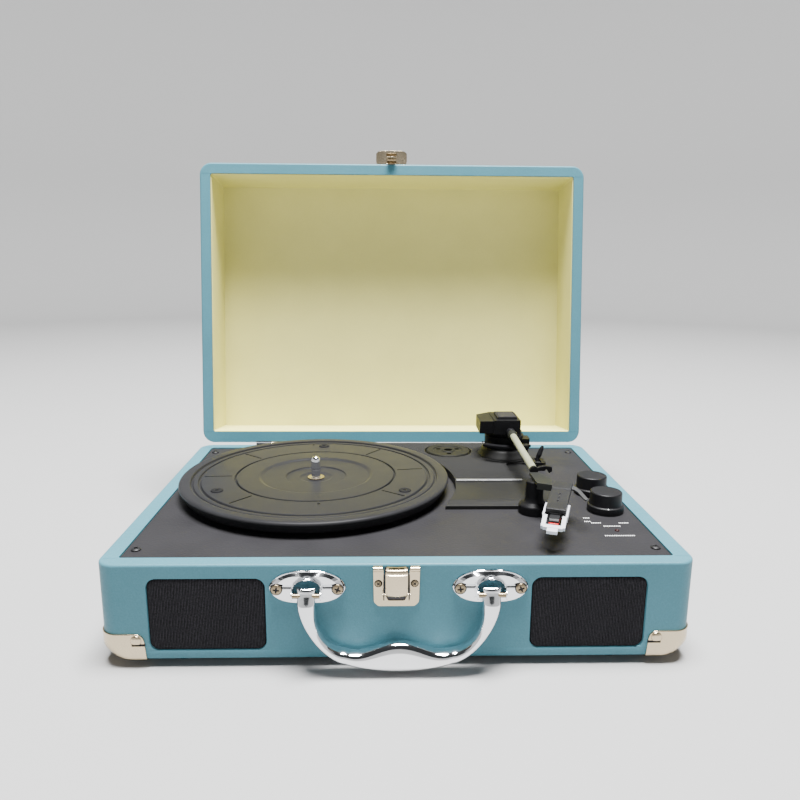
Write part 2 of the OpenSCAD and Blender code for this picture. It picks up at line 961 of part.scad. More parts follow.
// Head block: counterweight on the left, tube socket on the right, cross pin through both
module arm_head() {
    low = 87;
    color(black)
    placed() {
        difference() {
            union() {
                translate([0, 0, low + 0.6])
                    linear_extrude(10.6)
                        polygon([[71.6, 62.6], [91, 62.6], [91, 97.5], [84, 97.5], [71.6, 88]]);
                translate([83.5, 61.6, low])
                    cube([22, 31, 12]);
            }
            translate([arm_x - 2.9, arm_y - 8, low - 1])
                cube([5.8, 16, 11]);
            sideways(88, 40)
                polygon([[arm_y + 2, low - 1], [100, low - 1], [100, low + 4], [arm_y + 2, low]]);
        }
        rod_x([arm_x, arm_y, lift_z], 1.5, 12);
        tube_socket();
    }
}

// Nose that the tube plugs into
module tube_socket() {
    translate([tube_x, tube_start_y, tube_z])
        rotate([-90 + tube_slope(), 0, 0])
            cylinder(r = 3.6, h = 9);
}

module arm_cap() {
    color(black)
    placed()
    difference() {
        translate([95, 77, 99])
            linear_extrude(2)
                round_rect(16.6, 21, 1);
        translate([95, 77, 100.4])
            linear_extrude(1)
                difference() {
                    round_rect(15, 19.4, 0.8);
                    round_rect(14, 18.4, 0.6);
                }
    }
}

function tube_slope() = atan(tube_drop / (tube_start_y - tube_end_y));

module arm_tube() {
    color("#b9bda6")
    placed()
    translate([tube_x, tube_start_y, tube_z])
        rotate([90 + tube_slope(), 0, 0])
            cylinder(d = tube_d, h = tube_length());
}

// The tube slopes, so its end stops just short of the upright face of the collar
function tube_length() = norm([tube_start_y - tube_end_y, tube_drop]) - collar_gap;

// Black collar at the tube's far end, with a hooked wing towards the right
module arm_collar() {
    z = tube_z - tube_drop;
    color(black)
    placed() {
        translate([tube_x, tube_end_y, z])
            rotate([90, 0, 0])
                cylinder(r = 3, h = 3);
        upright(tube_end_y - 3, 3)
            polygon([[tube_x, z + 0.6], [100.5, z + 2.6], [105, z + 3.4], [109.5, z + 2.6],
                     [109.8, z - 0.6], [107.6, z - 2], [106, z + 0.8], [tube_x, z - 0.8]]);
    }
}

// Bracket between the tube and the headshell
module arm_elbow() {
    color("#3b3c3a")
    placed()
    difference() {
        union() {
            translate([0, 0, 82.7])
                linear_extrude(2.2)
                    polygon([[93.6, tube_end_y - 3.1], [100.4, tube_end_y - 3.1], [105.9, -48.2],
                             [103.1, -60.2], [94, -56.2]]);
            translate([0, 0, 80.4])
                linear_extrude(2.4)
                    polygon([[96, -54], [104.6, -53], [103.1, -60.2], [94, -56.2]]);
        }
        at_shell()
            translate([-shell_w / 2, -60, -20])
                cube([30, 80, 40]);
    }
}

// The headshell's own frame: origin in the middle of its back edge, -Y along it, top at z = 0
module at_shell() {
    translate(shell_pos)
        rotate([0, 0, -shell_angle])
            rotate([shell_tilt, 0, 0])
                children();
}

module headshell() {
    color("#58595b")
    placed()
    at_shell()
        difference() {
            union() {
                translate([-shell_w / 2, -shell_len, -3])
                    cube([shell_w, shell_len, 2.6]);
                translate([-shell_w / 2, -12.5, -0.4])
                    cube([shell_w, 12.5, 0.8]);
                translate([-shell_w / 2, -shell_len + 0.4, -0.4])
                    cube([shell_w, shell_len - 12.9, 0.4]);
            }
            for (y = [-20, -26, -32])
                translate([-0.45, y - 4, -0.8])
                    cube([0.9, 3.4, 2]);
            translate([-shell_w / 2 + 1, -shell_len + 6, -4])
                cube([shell_w - 2, shell_len - 9, 2]);
        }
}

module finger_lift() {
    color("#6a6b6c")
    placed()
    at_shell()
        translate([0, 0, -2.4])
            linear_extrude(1.2)
                polygon([[shell_w / 2, -1.5], [8.6, -3.2], [12.6, -9.6], [17.9, -22.4], [17, -24.2],
                         [15.4, -23.4], [10.6, -12.4], [7.9, -8.6], [shell_w / 2, -8]]);
}

module cartridge() {
    color("#202124")
    placed()
    at_shell() {
        translate([-4.8, -40, -8])
            cube([9.6, 20, 5.8]);
        translate([-3.4, -48, -5.8])
            cube([6.8, 8, 2.8]);
    }
}

// Removable stylus: red carrier under the cartridge's nose, with the needle at its tip
module stylus() {
    color("#b3262b")
    placed()
    at_shell() {
        translate([-3, -57.4, -7.6])
            cube([6, 17.4, 1.8]);
        translate([0, -56.4, -8.5])
            cylinder(r1 = 0.25, r2 = 0.6, h = 0.9);
    }
}

// White guard round the stylus: two side rails, two front arms, a lower bar and a nose
module stylus_guard() {
    color("#eceef2")
    placed()
    at_shell() {
        for (s = [-1, 1]) {
            sideways(s * 7.1, 1.2)
                polygon([[-33, -2.6], [-33, -5.4], [-50, -7.2], [-50, -3.6], [-42, -2.6]]);
            sideways(s * 5.9, 2.6)
                polygon([[-49.4, -3.6], [-49.4, -7.2], [-60.4, -8.4], [-60.6, -6.4]]);
        }
        sideways(0, 11.8)
            polygon([[-58, -6.2], [-58, -8.2], [-61.4, -8.6], [-61.4, -6.6]]);
        sideways(0, 6.4)
            polygon([[-61, -6.8], [-61, -8.6], [-65.4, -9.2], [-65.4, -7.2]]);
    }
}

// Post that the arm rests over when it is parked
module arm_rest() {
    color(black)
    placed()
    translate([rest_pos[0], rest_pos[1], 0])
        rotate_extrude()
            polygon([[0, deck_top], [10.5, deck_top], [10.5, 65.4], [9.6, 66.6], [7.6, 67.2],
                     [6.3, 68.6], [6.1, 72], [6.1, 81.6], [5.3, 82.4], [0, 82.4]]);
}

// ---- cueing -----------------------------------------------------------------

function cue_post() = [arm_x + 14.5, arm_y - 23];

module cue_base() {
    x = cue_pos[0];
    y = cue_pos[1];
    color(black)
    placed()
    difference() {
        translate([x, y, deck_top])
            linear_extrude(7)
                round_rect(11, 15, 2.5);
        translate([x - 2, y - 6, deck_top + 0.8])
            cube([4, 12, 8]);
        rod_x([x, y, cue_axis_z], 1.2, 9);
    }
    color(nickel)
    placed()
        rod_x([x, y, cue_axis_z], 1.2, 9);
}

// Lever that leans right and back, on a cross pin
module cue_lever() {
    color(black)
    placed()
    difference() {
        union() {
            rod_x([cue_pos[0], cue_pos[1], cue_axis_z], 2.4, 3.2);
            translate([cue_pos[0], cue_pos[1], cue_axis_z])
                rotate([-12, 0, 0]) {
                    translate([0, 0, 1.2])
                        cylinder(r = 1.3, h = 6);
                    translate([0, 0, 4.6])
                        rotate([0, 22, 0])
                            rotate_extrude()
                                polygon([[0, 0], [1.3, 0], [2.1, 3], [1.7, 9], [1.1, 11.2], [0, 11.6]]);
                }
        }
        rod_x([cue_pos[0], cue_pos[1], cue_axis_z], 1.2 + run, 10);
    }
}

// Curved bar below the tube, on a post that slides in the panel
module cue_platform() {
    post = cue_post();
    reach = norm([post[0] - arm_x, post[1] - arm_y]);
    color(black)
    placed() {
        translate([post[0], post[1], deck_top + 0.5])
            cylinder(r = 2, h = 18.5);
        translate([arm_x, arm_y, 77.6])
            rotate([0, 0, 225])
                rotate_extrude(angle = 84)
                    translate([reach - 2.6, 0])
                        square([5.2, 2.2]);
    }
}

// ---- controls ---------------------------------------------------------------

module knob(p) {
    low = deck_top + gap;
    top = deck_top + knob_h;
    color(black)
    placed()
    translate([p[0], p[1], 0])
        rotate_extrude()
            polygon([[0, 48.6], [3, 48.6], [3, low + 1], [4.9, low + 1], [4.9, low],
                     [knob_skirt_r, low], [knob_skirt_r, low + 3.2], [knob_skirt_r - 0.4, low + 3.7],
                     [knob_r + 0.2, low + 4], [knob_r, low + 4.3], [knob_r - 0.2, top - 0.7],
                     [knob_r - 0.9, top], [0, top]]);
}

module knob_rear() {
    knob(knob_rear_pos);
}

module knob_front() {
    knob(knob_front_pos);
}

// Disc that fills the large hole of a single, parked in the panel
module adapter() {
    low = panel_top - 3.2 + gap;
    top = low + 3.6;
    color("#4b4c46")
    placed()
    translate([adapter_pos[0], adapter_pos[1], 0])
        difference() {
            rotate_extrude()
                polygon([[spindle_r + 0.1, low], [adapter_r - 0.6, low], [adapter_r, low + 0.6],
                         [adapter_r, top - 0.8], [adapter_r - 0.8, top], [13.4, top],
                         [12.6, top - 0.7], [6.2, top - 0.7], [5.4, top], [spindle_r + 0.1, top]]);
            for (a = [30, 150, 270])
                rotate([0, 0, a])
                    translate([9.4, 0, low - 1])
                        cylinder(r = 2.1, h = 10);
        }
}

// ---- lid --------------------------------------------------------------------

module lid_shell() {
    color(turquoise)
    lid_placed()
    difference() {
        translate([0, 0, lid_z])
            linear_extrude(lid_h)
                case_outline();
        translate([0, 0, lid_z - 1])
            linear_extrude(lid_h + 1 - lid_board)
                round_rect(case_w - 2 * lid_wall, case_d - 2 * lid_wall, 2);
        hinge_space();
    }
}

module lid_lining() {
    w = case_w - 2 * lid_wall;
    d = case_d - 2 * lid_wall;
    high = lid_top - lid_board;
    color(cream)
    lid_placed()
    difference() {
        translate([0, 0, lid_z + 1])
            linear_extrude(high - lid_z - 1)
                round_rect(w, d, 2);
        translate([0, 0, lid_z - 1])
            linear_extrude(high - lining_t - lid_z + 1)
                round_rect(w - 2 * lining_t, d - 2 * lining_t, 1.2);
    }
}

module lid_corners() {
    color(nickel)
    lid_placed()
        translate([0, 0, lid_top])
            mirror([0, 0, 1])
                four_corners(16.5, 26, 0.8);
}

// Lid halves of the two hinges, and the catch whose tongue drops into the latch
module lid_fittings() {
    color(nickel)
    lid_placed() {
        for (x = [-hinge_x, hinge_x])
            difference() {
                union() {
                    translate([x - hinge_w / 2, back, hinge_z + leaf_reach])
                        cube([hinge_w, leaf_t, leaf_h]);
                    hinge_knuckle(x, knuckle, 1);
                }
                rod_x([x, hinge_y, hinge_z], hinge_pin_r + run, knuckle + 1);
                for (s = [-1, 1])
                    rod_y([x + s * 13, back - 1, hinge_z + leaf_reach + leaf_h / 2], 1.4, 4);
            }
        lid_catch();
    }
}

// Pressed hood with a hollow face, and the tongue that reaches below the lid's rim
module lid_catch() {
    low = lid_z + 1;
    depth = 12;
    difference() {
        translate([latch_x, front, low])
            linear_extrude(14)
                polygon([[-13.4, 0], [-14, -3], [-14, -9.4], [-12, -depth + 0.6], [-9.4, -depth],
                         [9.4, -depth], [12, -depth + 0.6], [14, -9.4], [14, -3], [13.4, 0]]);
        translate([latch_x, front, low - 1])
            linear_extrude(11)
                polygon([[-3.6, -5.4], [-5, -9.6], [5, -9.6], [3.6, -5.4]]);
        translate([latch_x, front, low - 1])
            linear_extrude(11)
                polygon([[-4.4, -0.8], [-4.4, -3], [4.4, -3], [4.4, -0.8]]);
    }
    translate([latch_x - 4, front - 5.2, deck_top - 4.4])
        cube([8, 1.4, low + 1 - deck_top + 4.4]);
}

// ---- the player -------------------------------------------------------------

case_shell();
case_corners();
feet();
grille_left();
grille_right();
speaker_left();
speaker_right();
handle_plate_left();
handle_plate_right();
handle_pins();
handle_screws();
latch_plate();
latch_pin();
latch_screws();
hinge_left();
hinge_right();
deck_plate();
deck_screws();
arm_panel();
spindle();
spindle_bush();
spindle_clip();
motor();
drive_belt();
circuit_board();
pot_rear();
pot_front();
led();
rear_panel();
phono_sockets();
headphone_socket();
power_inlet();
arm_base();
arm_rest();
cue_base();
platter();
platter_pads();
motor_pulley();
arm_yoke();
arm_head();
arm_cap();
arm_tube();
arm_collar();
arm_elbow();
headshell();
finger_lift();
cartridge();
stylus();
stylus_guard();
cue_lever();
cue_platform();
adapter();
knob_rear();
knob_front();
handle();
latch_lever();
lid_shell();
lid_lining();
lid_corners();
lid_fittings();
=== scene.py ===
"""Portable suitcase record player: the looks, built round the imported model."""
import json
from math import atan2, copysign, cos, exp, hypot, pi, radians, sin, sqrt

import bmesh
import bpy
from mathutils import Euler, Matrix, Vector


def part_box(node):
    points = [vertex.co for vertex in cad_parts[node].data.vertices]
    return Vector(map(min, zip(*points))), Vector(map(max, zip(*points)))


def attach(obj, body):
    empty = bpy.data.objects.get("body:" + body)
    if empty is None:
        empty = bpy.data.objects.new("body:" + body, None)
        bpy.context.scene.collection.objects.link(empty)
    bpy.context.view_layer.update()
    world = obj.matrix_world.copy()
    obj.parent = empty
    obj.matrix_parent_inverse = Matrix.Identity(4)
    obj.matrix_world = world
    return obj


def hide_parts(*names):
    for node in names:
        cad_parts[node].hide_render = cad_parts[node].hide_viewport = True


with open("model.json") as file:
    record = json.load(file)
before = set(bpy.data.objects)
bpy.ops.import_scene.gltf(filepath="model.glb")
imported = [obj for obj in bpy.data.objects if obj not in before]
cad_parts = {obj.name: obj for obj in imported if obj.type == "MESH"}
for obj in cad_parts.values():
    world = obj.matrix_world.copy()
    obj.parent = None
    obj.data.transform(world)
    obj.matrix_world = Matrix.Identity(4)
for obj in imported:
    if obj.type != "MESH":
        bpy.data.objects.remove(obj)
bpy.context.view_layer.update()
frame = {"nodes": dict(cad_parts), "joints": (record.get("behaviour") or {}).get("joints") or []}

# ---- places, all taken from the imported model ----

MM = 0.001
case_low, case_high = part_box("case_shell")
# Pieces are drawn in millimetres in the case's own frame: middle of the case, from its underside up
ORIGIN = Vector(((case_low.x + case_high.x) / 2, (case_low.y + case_high.y) / 2, case_low.z))
CASE_W, CASE_D, BASE_H = ((case_high - case_low) / MM)[:]
FRONT = -CASE_D / 2
BACK = CASE_D / 2
HALF_W = CASE_W / 2
CORNER_R = 11
CORNER_ARC = CORNER_R * pi / 2
CORNERS = [(sx, sy) for sx in (-1, 1) for sy in (-1, 1)]


def joint(name):
    return next(j for j in frame["joints"] if j["name"] == name)


def local(point):
    """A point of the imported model, in millimetres in the case's frame."""
    return (Vector(point) - ORIGIN) / MM


def pivot(name):
    return local(joint(name)["pos_m"])


def middle(node):
    low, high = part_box(node)
    return local((low + high) / 2)


def top_of(node):
    return local(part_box(node)[1]).z


def low_of(node):
    return local(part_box(node)[0]).z


HINGE = pivot("lid_hinge")
LID_ANGLE = radians(joint("lid_hinge")["range_deg"][0])
# Lid pieces are drawn shut and then opened
OPENED = Matrix.Translation(HINGE) @ Matrix.Rotation(LID_ANGLE, 4, "X") @ Matrix.Translation(-HINGE)
TO_FRAME = Matrix.Translation(ORIGIN) @ Matrix.Scale(MM, 4)

# ---- camera ----


def shown(name, data):
    """A new object in the scene."""
    obj = bpy.data.objects.new(name, data)
    bpy.context.scene.collection.objects.link(obj)
    return obj


camera = shown("camera", bpy.data.cameras.new("camera"))
camera.data.sensor_width = 36
camera.data.lens = 31.74
camera.data.clip_start = 0.01
camera.location = TO_FRAME @ Vector((-10.46, -504.32, 237.46))
camera.rotation_euler = Euler((radians(77.925), radians(-0.4), radians(-1.466)))
bpy.context.scene.camera = camera

# ---- materials ----


class Look:
    """A Principled material with short calls for its texture nodes."""

    def __init__(self, name, colour, roughness, metallic=0.0, **sockets):
        self.material = bpy.data.materials.new(name)
        self.material.use_nodes = True
        self.tree = self.material.node_tree
        self.shader = self.tree.nodes["Principled BSDF"]
        self.colour = colour
        self.normal = None
        self.set(self.shader, "Base Color", (*colour, 1))
        self.set(self.shader, "Roughness", roughness)
        self.set(self.shader, "Metallic", metallic)
        self.set_all(self.shader, sockets)

    def set(self, node, socket, value):
        if isinstance(value, bpy.types.NodeSocket):
            self.tree.links.new(value, node.inputs[socket])
        else:
            node.inputs[socket].default_value = value

    def set_all(self, node, sockets):
        for socket, value in sockets.items():
            self.set(node, socket.replace("_", " "), value)

    def add(self, kind, **sockets):
        """A new node, with these of its sockets set."""
        node = self.tree.nodes.new("ShaderNode" + kind)
        self.set_all(node, sockets)
        return node

    def texture(self, kind, scale, stretch=(1, 1, 1), **sockets):
        """A texture over the object's own coordinates, stretched."""
        place = self.add("Mapping", Vector=self.add("TexCoord").outputs["Object"], Scale=stretch)
        return self.add("Tex" + kind, Vector=place.outputs["Vector"], Scale=scale, **sockets)

    def noise(self, scale, detail=3.0, stretch=(1, 1, 1), distortion=0.0):
        return self.texture("Noise", scale, stretch, Detail=detail, Distortion=distortion).outputs["Fac"]

    def cells(self, scale, feature="F1", stretch=(1, 1, 1)):
        node = self.texture("Voronoi", scale, stretch)
        node.feature = feature
        return node.outputs["Distance"]

    def waves(self, scale, direction, distortion=0.0):
        node = self.texture("Wave", scale, Distortion=distortion)
        node.bands_direction = direction
        return node.outputs["Fac"]

    def span(self, value, low, high, start=0.0, end=1.0):
        """A texture's value from start to end, turned into low to high."""
        node = self.add("MapRange", Value=value, From_Min=start, From_Max=end, To_Min=low, To_Max=high)
        return node.outputs["Result"]

    def sum(self, a, b, share=0.5):
        """A blend of two heights."""
        return self.add("Mix", Factor=share, A=a, B=b).outputs["Result"]

    def tint(self, value, dark, light, start=0.3, end=0.7):
        """Colour from dark times the base colour to light times it."""
        ramp = self.tree.nodes.new("ShaderNodeValToRGB")
        for element, factor, position in zip(ramp.color_ramp.elements, (dark, light), (start, end)):
            element.position = position
            element.color = (*(min(1.0, c * factor) for c in self.colour), 1)
        self.set(ramp, "Fac", value)
        self.set(self.shader, "Base Color", ramp.outputs["Color"])

    def polish(self, value, low, high, start=0.3, end=0.7):
        """Roughness that varies from low to high."""
        self.set(self.shader, "Roughness", self.span(value, low, high, start, end))

    def bump(self, height, depth, strength=1.0):
        """Relief of this depth in metres, on top of any earlier relief."""
        node = self.add("Bump", Height=height, Distance=depth, Strength=strength)
        if self.normal:
            self.set(node, "Normal", self.normal)
        self.normal = node.outputs["Normal"]
        self.set(self.shader, "Normal", self.normal)


def leatherette():
    look = Look("leatherette", (0.056, 0.172, 0.215), 0.6, Specular_IOR_Level=0.22)
    pebbles = look.cells(1150, "SMOOTH_F1")
    creases = look.noise(420, 5, (1, 1, 1), 0.4)
    look.tint(look.sum(look.noise(14, 4), pebbles, 0.35), 0.9, 1.1)
    look.polish(creases, 0.36, 0.52)
    look.bump(look.sum(pebbles, creases, 0.45), 0.00022, 0.55)
    look.bump(look.noise(22, 2), 0.0012, 0.12)
    return look


def lining_paper():
    look = Look("lining_paper", (0.68, 0.645, 0.235), 0.88, Specular_IOR_Level=0.25)
    look.tint(look.sum(look.noise(26, 5), look.noise(700, 4, (1, 1, 3)), 0.4), 0.93, 1.04)
    look.polish(look.noise(60, 3), 0.8, 0.92)
    look.bump(look.noise(900, 5, (1, 1, 2.5)), 0.00016, 0.5)
    look.bump(look.noise(18, 2), 0.0015, 0.1)
    return look


def cloth():
    look = Look("grille_cloth", (0.0095, 0.0092, 0.0108), 0.9, Specular_IOR_Level=0.12)
    threads = look.waves(360, "X", 1.5)
    look.tint(look.sum(threads, look.noise(1000, 3), 0.6), 0.35, 3.2, 0.42, 0.72)
    look.bump(threads, 0.0002, 0.6)
    look.bump(look.noise(1600, 3), 0.0001, 0.5)
    return look


def circuit_green():
    look = Look("circuit_board", (0.03, 0.16, 0.06), 0.4)
    tracks = look.cells(180, "DISTANCE_TO_EDGE", (1, 1, 0.1))
    look.tint(tracks, 0.7, 1.5, 0.02, 0.08)
    look.bump(tracks, 0.0001, 0.5)
    return look


def lamp_red():
    look = Look("lamp_red", (0.02, 0.004, 0.004), 0.35, IOR=1.5, Specular_IOR_Level=0.12)
    look.bump(look.noise(400, 2), 0.00005, 0.3)
    return look


def studio_paper():
    look = Look("studio", (0.36, 0.36, 0.36), 0.9, Specular_IOR_Level=0.1)
    look.tint(look.noise(0.6, 2), 0.99, 1.01)
    return look


LOOKS = {"leatherette": leatherette(), "lining": lining_paper(), "cloth": cloth(), "board": circuit_green(),
         "lamp": lamp_red(), "studio": studio_paper()}


def plastic(name, colour, roughness, grain=0.00008, grain_scale=1500, spread=0.05, specular=0.5):
    """Moulded plastic: fine spark-eroded grain, a little uneven gloss."""
    look = LOOKS[name] = Look(name, colour, roughness, Specular_IOR_Level=specular)
    fine = look.noise(grain_scale, 3)
    broad = look.noise(35, 4)
    look.tint(look.sum(fine, broad, 0.6), 0.88, 1.14)
    look.polish(broad, roughness - spread, roughness + spread)
    look.bump(fine, grain, 0.5)


def metal(name, colour, roughness, stretch=(1, 1, 1), depth=0.00003, spread=0.04):
    """Plated or drawn metal: faint marks along one direction and uneven polish."""
    look = LOOKS[name] = Look(name, colour, roughness, 1.0)
    marks = look.noise(500, 4, stretch)
    smudges = look.noise(45, 4)
    look.tint(smudges, 0.95, 1.03)
    look.polish(look.sum(marks, smudges), max(0.02, roughness - spread), roughness + spread)
    look.bump(marks, depth, 0.25)


plastic("black_plastic", (0.010, 0.010, 0.011), 0.45, specular=0.2)
plastic("deck_plastic", (0.016, 0.0155, 0.0172), 0.58, 0.0003, 620, specular=0.15)
plastic("gloss_black", (0.0065, 0.0065, 0.0073), 0.42, 0.00003, 900, specular=0.07)
plastic("platter_black", (0.0155, 0.0155, 0.0168), 0.42, 0.00003, 700, specular=0.075)
plastic("grey_plastic", (0.0125, 0.0125, 0.0135), 0.48, specular=0.22)
plastic("olive_plastic", (0.010, 0.010, 0.009), 0.5, specular=0.05)
plastic("white_plastic", (0.55, 0.56, 0.60), 0.35, 0.00003)
plastic("red_plastic", (0.50, 0.012, 0.012), 0.35, 0.00003)
plastic("printed_white", (0.75, 0.75, 0.75), 0.6, 0.00002)
metal("chrome", (0.86, 0.87, 0.89), 0.07, (1, 1, 1), 0.00002, 0.03)
metal("nickel", (0.60, 0.50, 0.345), 0.24, (4, 1, 1), 0.00004, 0.06)
metal("brass", (0.62, 0.46, 0.20), 0.25, (1, 1, 6))
plastic("tube_metal", (0.22, 0.23, 0.16), 0.45, 0.00003, 900)
metal("steel", (0.45, 0.46, 0.48), 0.35, (1, 5, 1))
plastic("rubber", (0.007, 0.007, 0.0075), 0.7, 0.0001, 1200, specular=0.1)
# painted shade: a darker tone of the covering, used in its creases and behind the handle plates' holes
plastic("painted_shade_leather", (0.03, 0.12, 0.16), 0.6)
metal("dark_metal", (0.06, 0.06, 0.065), 0.5)
plastic("panel_plastic", (0.0105, 0.0105, 0.0103), 0.52, 0.00008, 1200, specular=0.14)
plastic("elbow_plastic", (0.014, 0.015, 0.013), 0.45, specular=0.22)
plastic("light_grey_plastic", (0.035, 0.035, 0.037), 0.4)
plastic("knob_plastic", (0.005, 0.005, 0.006), 0.45, 0.00006, 1100, specular=0.22)
# painted highlight: a light grey for the arm panel's ridge
plastic("ridge_painted_highlight", (0.08, 0.08, 0.083), 0.4)
metal("screw_metal", (0.27, 0.215, 0.14), 0.3)

# ---- mesh helpers, all in millimetres in the case's frame ----


def rounded(points, radius, steps=4):
    """The outline with each corner turned into a short curve that starts radius away from it."""
    out = []
    count = len(points)
    for i, point in enumerate(points):
        corner = Vector(point)
        before = Vector(points[i - 1]) - corner
        after = Vector(points[(i + 1) % count]) - corner
        reach = min(radius, before.length * 0.48, after.length * 0.48)
        start = corner + before.normalized() * reach
        end = corner + after.normalized() * reach
        for k in range(steps + 1):
            t = k / steps
            out.append(start * (1 - t) ** 2 + corner * 2 * t * (1 - t) + end * t * t)
    return out


def loft(bm, rings, caps=True):
    """Skin over rings that have the same number of points."""
    made = [[bm.verts.new(p) for p in ring] for ring in rings]
    for a, b in zip(made, made[1:]):
        for i in range(len(a)):
            j = (i + 1) % len(a)
            bm.faces.new((a[i], a[j], b[j], b[i]))
    if caps:
        bm.faces.new(made[0][::-1])
        bm.faces.new(made[-1])
    return made


AXES = {"Z": Matrix.Identity(3), "Y": Matrix.Rotation(radians(-90), 3, "X"),
        "-Y": Matrix.Rotation(radians(90), 3, "X"), "X": Matrix.Rotation(radians(90), 3, "Y")}


def lathe(bm, profile, centre, steps=64, axis="Z"):
    """Turned solid. The profile's points are (radius, height), as a closed loop or from axis to axis."""
    turn = AXES[axis] if isinstance(axis, str) else axis
    centre = Vector(centre)
    on_axis = [abs(p[0]) < 1e-6 for p in profile]
    rings = []
    for (r, h), pole in zip(profile, on_axis):
        count = 1 if pole else steps
        rings.append([bm.verts.new(centre + turn @ Vector((r * cos(a), r * sin(a), h)))
                      for a in (2 * pi * k / steps for k in range(count))])
    pairs = list(zip(rings, rings[1:]))
    if not (on_axis[0] and on_axis[-1]):
        pairs.append((rings[-1], rings[0]))
    for a, b in pairs:
        for i in range(steps):
            j = (i + 1) % steps
            corners = list(dict.fromkeys((a[i % len(a)], a[j % len(a)], b[j % len(b)], b[i % len(b)])))
            if len(corners) > 2:
                bm.faces.new(corners)


def turned(profile, centre, steps=64, axis="Z"):
    bm = bmesh.new()
    lathe(bm, profile, centre, steps, axis)
    return bm


def slab(bm, outline, low, high, place=lambda u, v, w: (u, v, w)):
    """Flat piece: an outline given a thickness, from low to high."""
    loft(bm, [[place(p[0], p[1], w) for p in outline] for w in (low, high)])


def on_front(u, v, w):
    """Outline in x and z, standing w out of the case's front."""
    return (u, FRONT - w, v)


def along_x(u, v, w):
    """Outline in y and z, carried along x."""
    return (w, u, v)


def box_outline(x, y, w, h, radius, steps=6):
    corners = [(x - w / 2, y - h / 2), (x + w / 2, y - h / 2), (x + w / 2, y + h / 2), (x - w / 2, y + h / 2)]
    return rounded(corners, radius, steps)


def from_node(node, lid=False):
    """The CAD node's solid, welded, with its flat faces joined up, in millimetres, shut."""
    bm = bmesh.new()
    bm.from_mesh(frame["nodes"][node].data)
    bm.transform(TO_FRAME.inverted())
    if lid:
        bm.transform(OPENED.inverted())
    bmesh.ops.remove_doubles(bm, verts=bm.verts, dist=0.004)
    bmesh.ops.dissolve_limit(bm, angle_limit=radians(0.6), verts=bm.verts, edges=bm.edges)
    return bm


def bevel(bm, width, segments=2, limit=35, chosen=lambda a, b: True):
    """Rounds the edges sharper than limit whose ends are chosen."""
    edges = [e for e in bm.edges if len(e.link_faces) == 2
             and e.calc_face_angle() > radians(limit) and chosen(e.verts[0].co, e.verts[1].co)]
    if edges:
        bmesh.ops.bevel(bm, geom=edges, offset=width, segments=segments, profile=0.5,
                        affect="EDGES", clamp_overlap=True)


def mesh_of(bm, name):
    mesh = bpy.data.meshes.new(name)
    bm.to_mesh(mesh)
    bm.free()
    return mesh


def cut_away(bm, cutter):
    """The first solid with the second taken out of it."""
    objects = []
    for solid in (bm, cutter):
        bmesh.ops.recalc_face_normals(solid, faces=solid.faces)
        objects.append(shown("solid", mesh_of(solid, "solid")))
    modifier = objects[0].modifiers.new("cut", "BOOLEAN")
    modifier.object = objects[1]
    modifier.solver = "EXACT"
    result = bmesh.new()
    result.from_object(objects[0], bpy.context.evaluated_depsgraph_get())
    for obj in objects:
        bpy.data.objects.remove(obj)
    return result


def build(name, bm, look, body, slot=None, replaces=(), lid=False, edge=0.0, sharp=45):
    """Makes the piece from its solid, rounds its edges, and puts it on its body."""
    bmesh.ops.remove_doubles(bm, verts=bm.verts, dist=1e-4)
    bmesh.ops.recalc_face_normals(bm, faces=bm.faces)
    if edge:
        bevel(bm, edge)
    if lid:
        bm.transform(OPENED)
    bm.transform(TO_FRAME)
    mesh = mesh_of(bm, name)
    mesh.shade_smooth()
    mesh.set_sharp_from_angle(angle=radians(sharp))
    obj = shown(name, mesh)
    mesh.materials.append(LOOKS[look].material)
    normals = obj.modifiers.new("normals", "WEIGHTED_NORMAL")
    normals.keep_sharp = True
    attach(obj, body)
    if replaces:
        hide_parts(*replaces)


def rounded_node(name, node, look, body, width, limit=35, shortest=0.0, segments=2, **options):
    """A piece with its CAD node's shape, and its edges longer than shortest rounded."""
    bm = from_node(node, options.get("lid", False))
    bevel(bm, width, segments, limit, lambda a, b: (a - b).length > shortest)
    build(name, bm, look, body, replaces=(node,), **options)


def finish_node(node, look, edge):
    """A CAD node that is shown as it is: its material, and softly rounded edges."""
    obj = frame["nodes"][node]
    obj.data.materials.clear()
    obj.data.materials.append(LOOKS[look].material)
    if not edge:
        return
    weld = obj.modifiers.new("weld", "WELD")
    weld.merge_threshold = 4e-6
    flat = obj.modifiers.new("flat", "DECIMATE")
    flat.decimate_type = "DISSOLVE"
    flat.angle_limit = radians(0.6)
    soft = obj.modifiers.new("edges", "BEVEL")
    soft.width = edge * MM
    soft.segments = 2
    soft.angle_limit = radians(35)
    normals = obj.modifiers.new("normals", "WEIGHTED_NORMAL")
    normals.keep_sharp = True


# ---- case and lid boards ----


def past_straights(x, y):
    """How far a point is past the ends of the outline's straight sides, in x and in y."""
    return abs(x) - (HALF_W - CORNER_R), abs(y) - (BACK - CORNER_R)


def from_outline(x, y):
    """How far inside the case's outline a point is, and the unit vector that leads inwards there."""
    dx, dy = past_straights(x, y)
    side_x, side_y = copysign(1, x), copysign(1, y)
    if dx > 0 and dy > 0:
        reach = hypot(dx, dy)
        return CORNER_R - reach, (-side_x * dx / reach, -side_y * dy / reach)
    return (CORNER_R - dx, (-side_x, 0)) if dx > dy else (CORNER_R - dy, (0, -side_y))


def cut_plane(bm, point, normal, start=-1e3, end=1e3):
    """Cuts the faces that lie between two heights along a plane."""
    low, high = min(start, end) - 0.01, max(start, end) + 0.01
    faces = [f for f in bm.faces if all(low < v.co.z < high for v in f.verts)]
    edges = {e for f in faces for e in f.edges}
    verts = {v for f in faces for v in f.verts}
    bmesh.ops.bisect_plane(bm, geom=[*verts, *edges, *faces], dist=1e-4, plane_co=point, plane_no=normal)


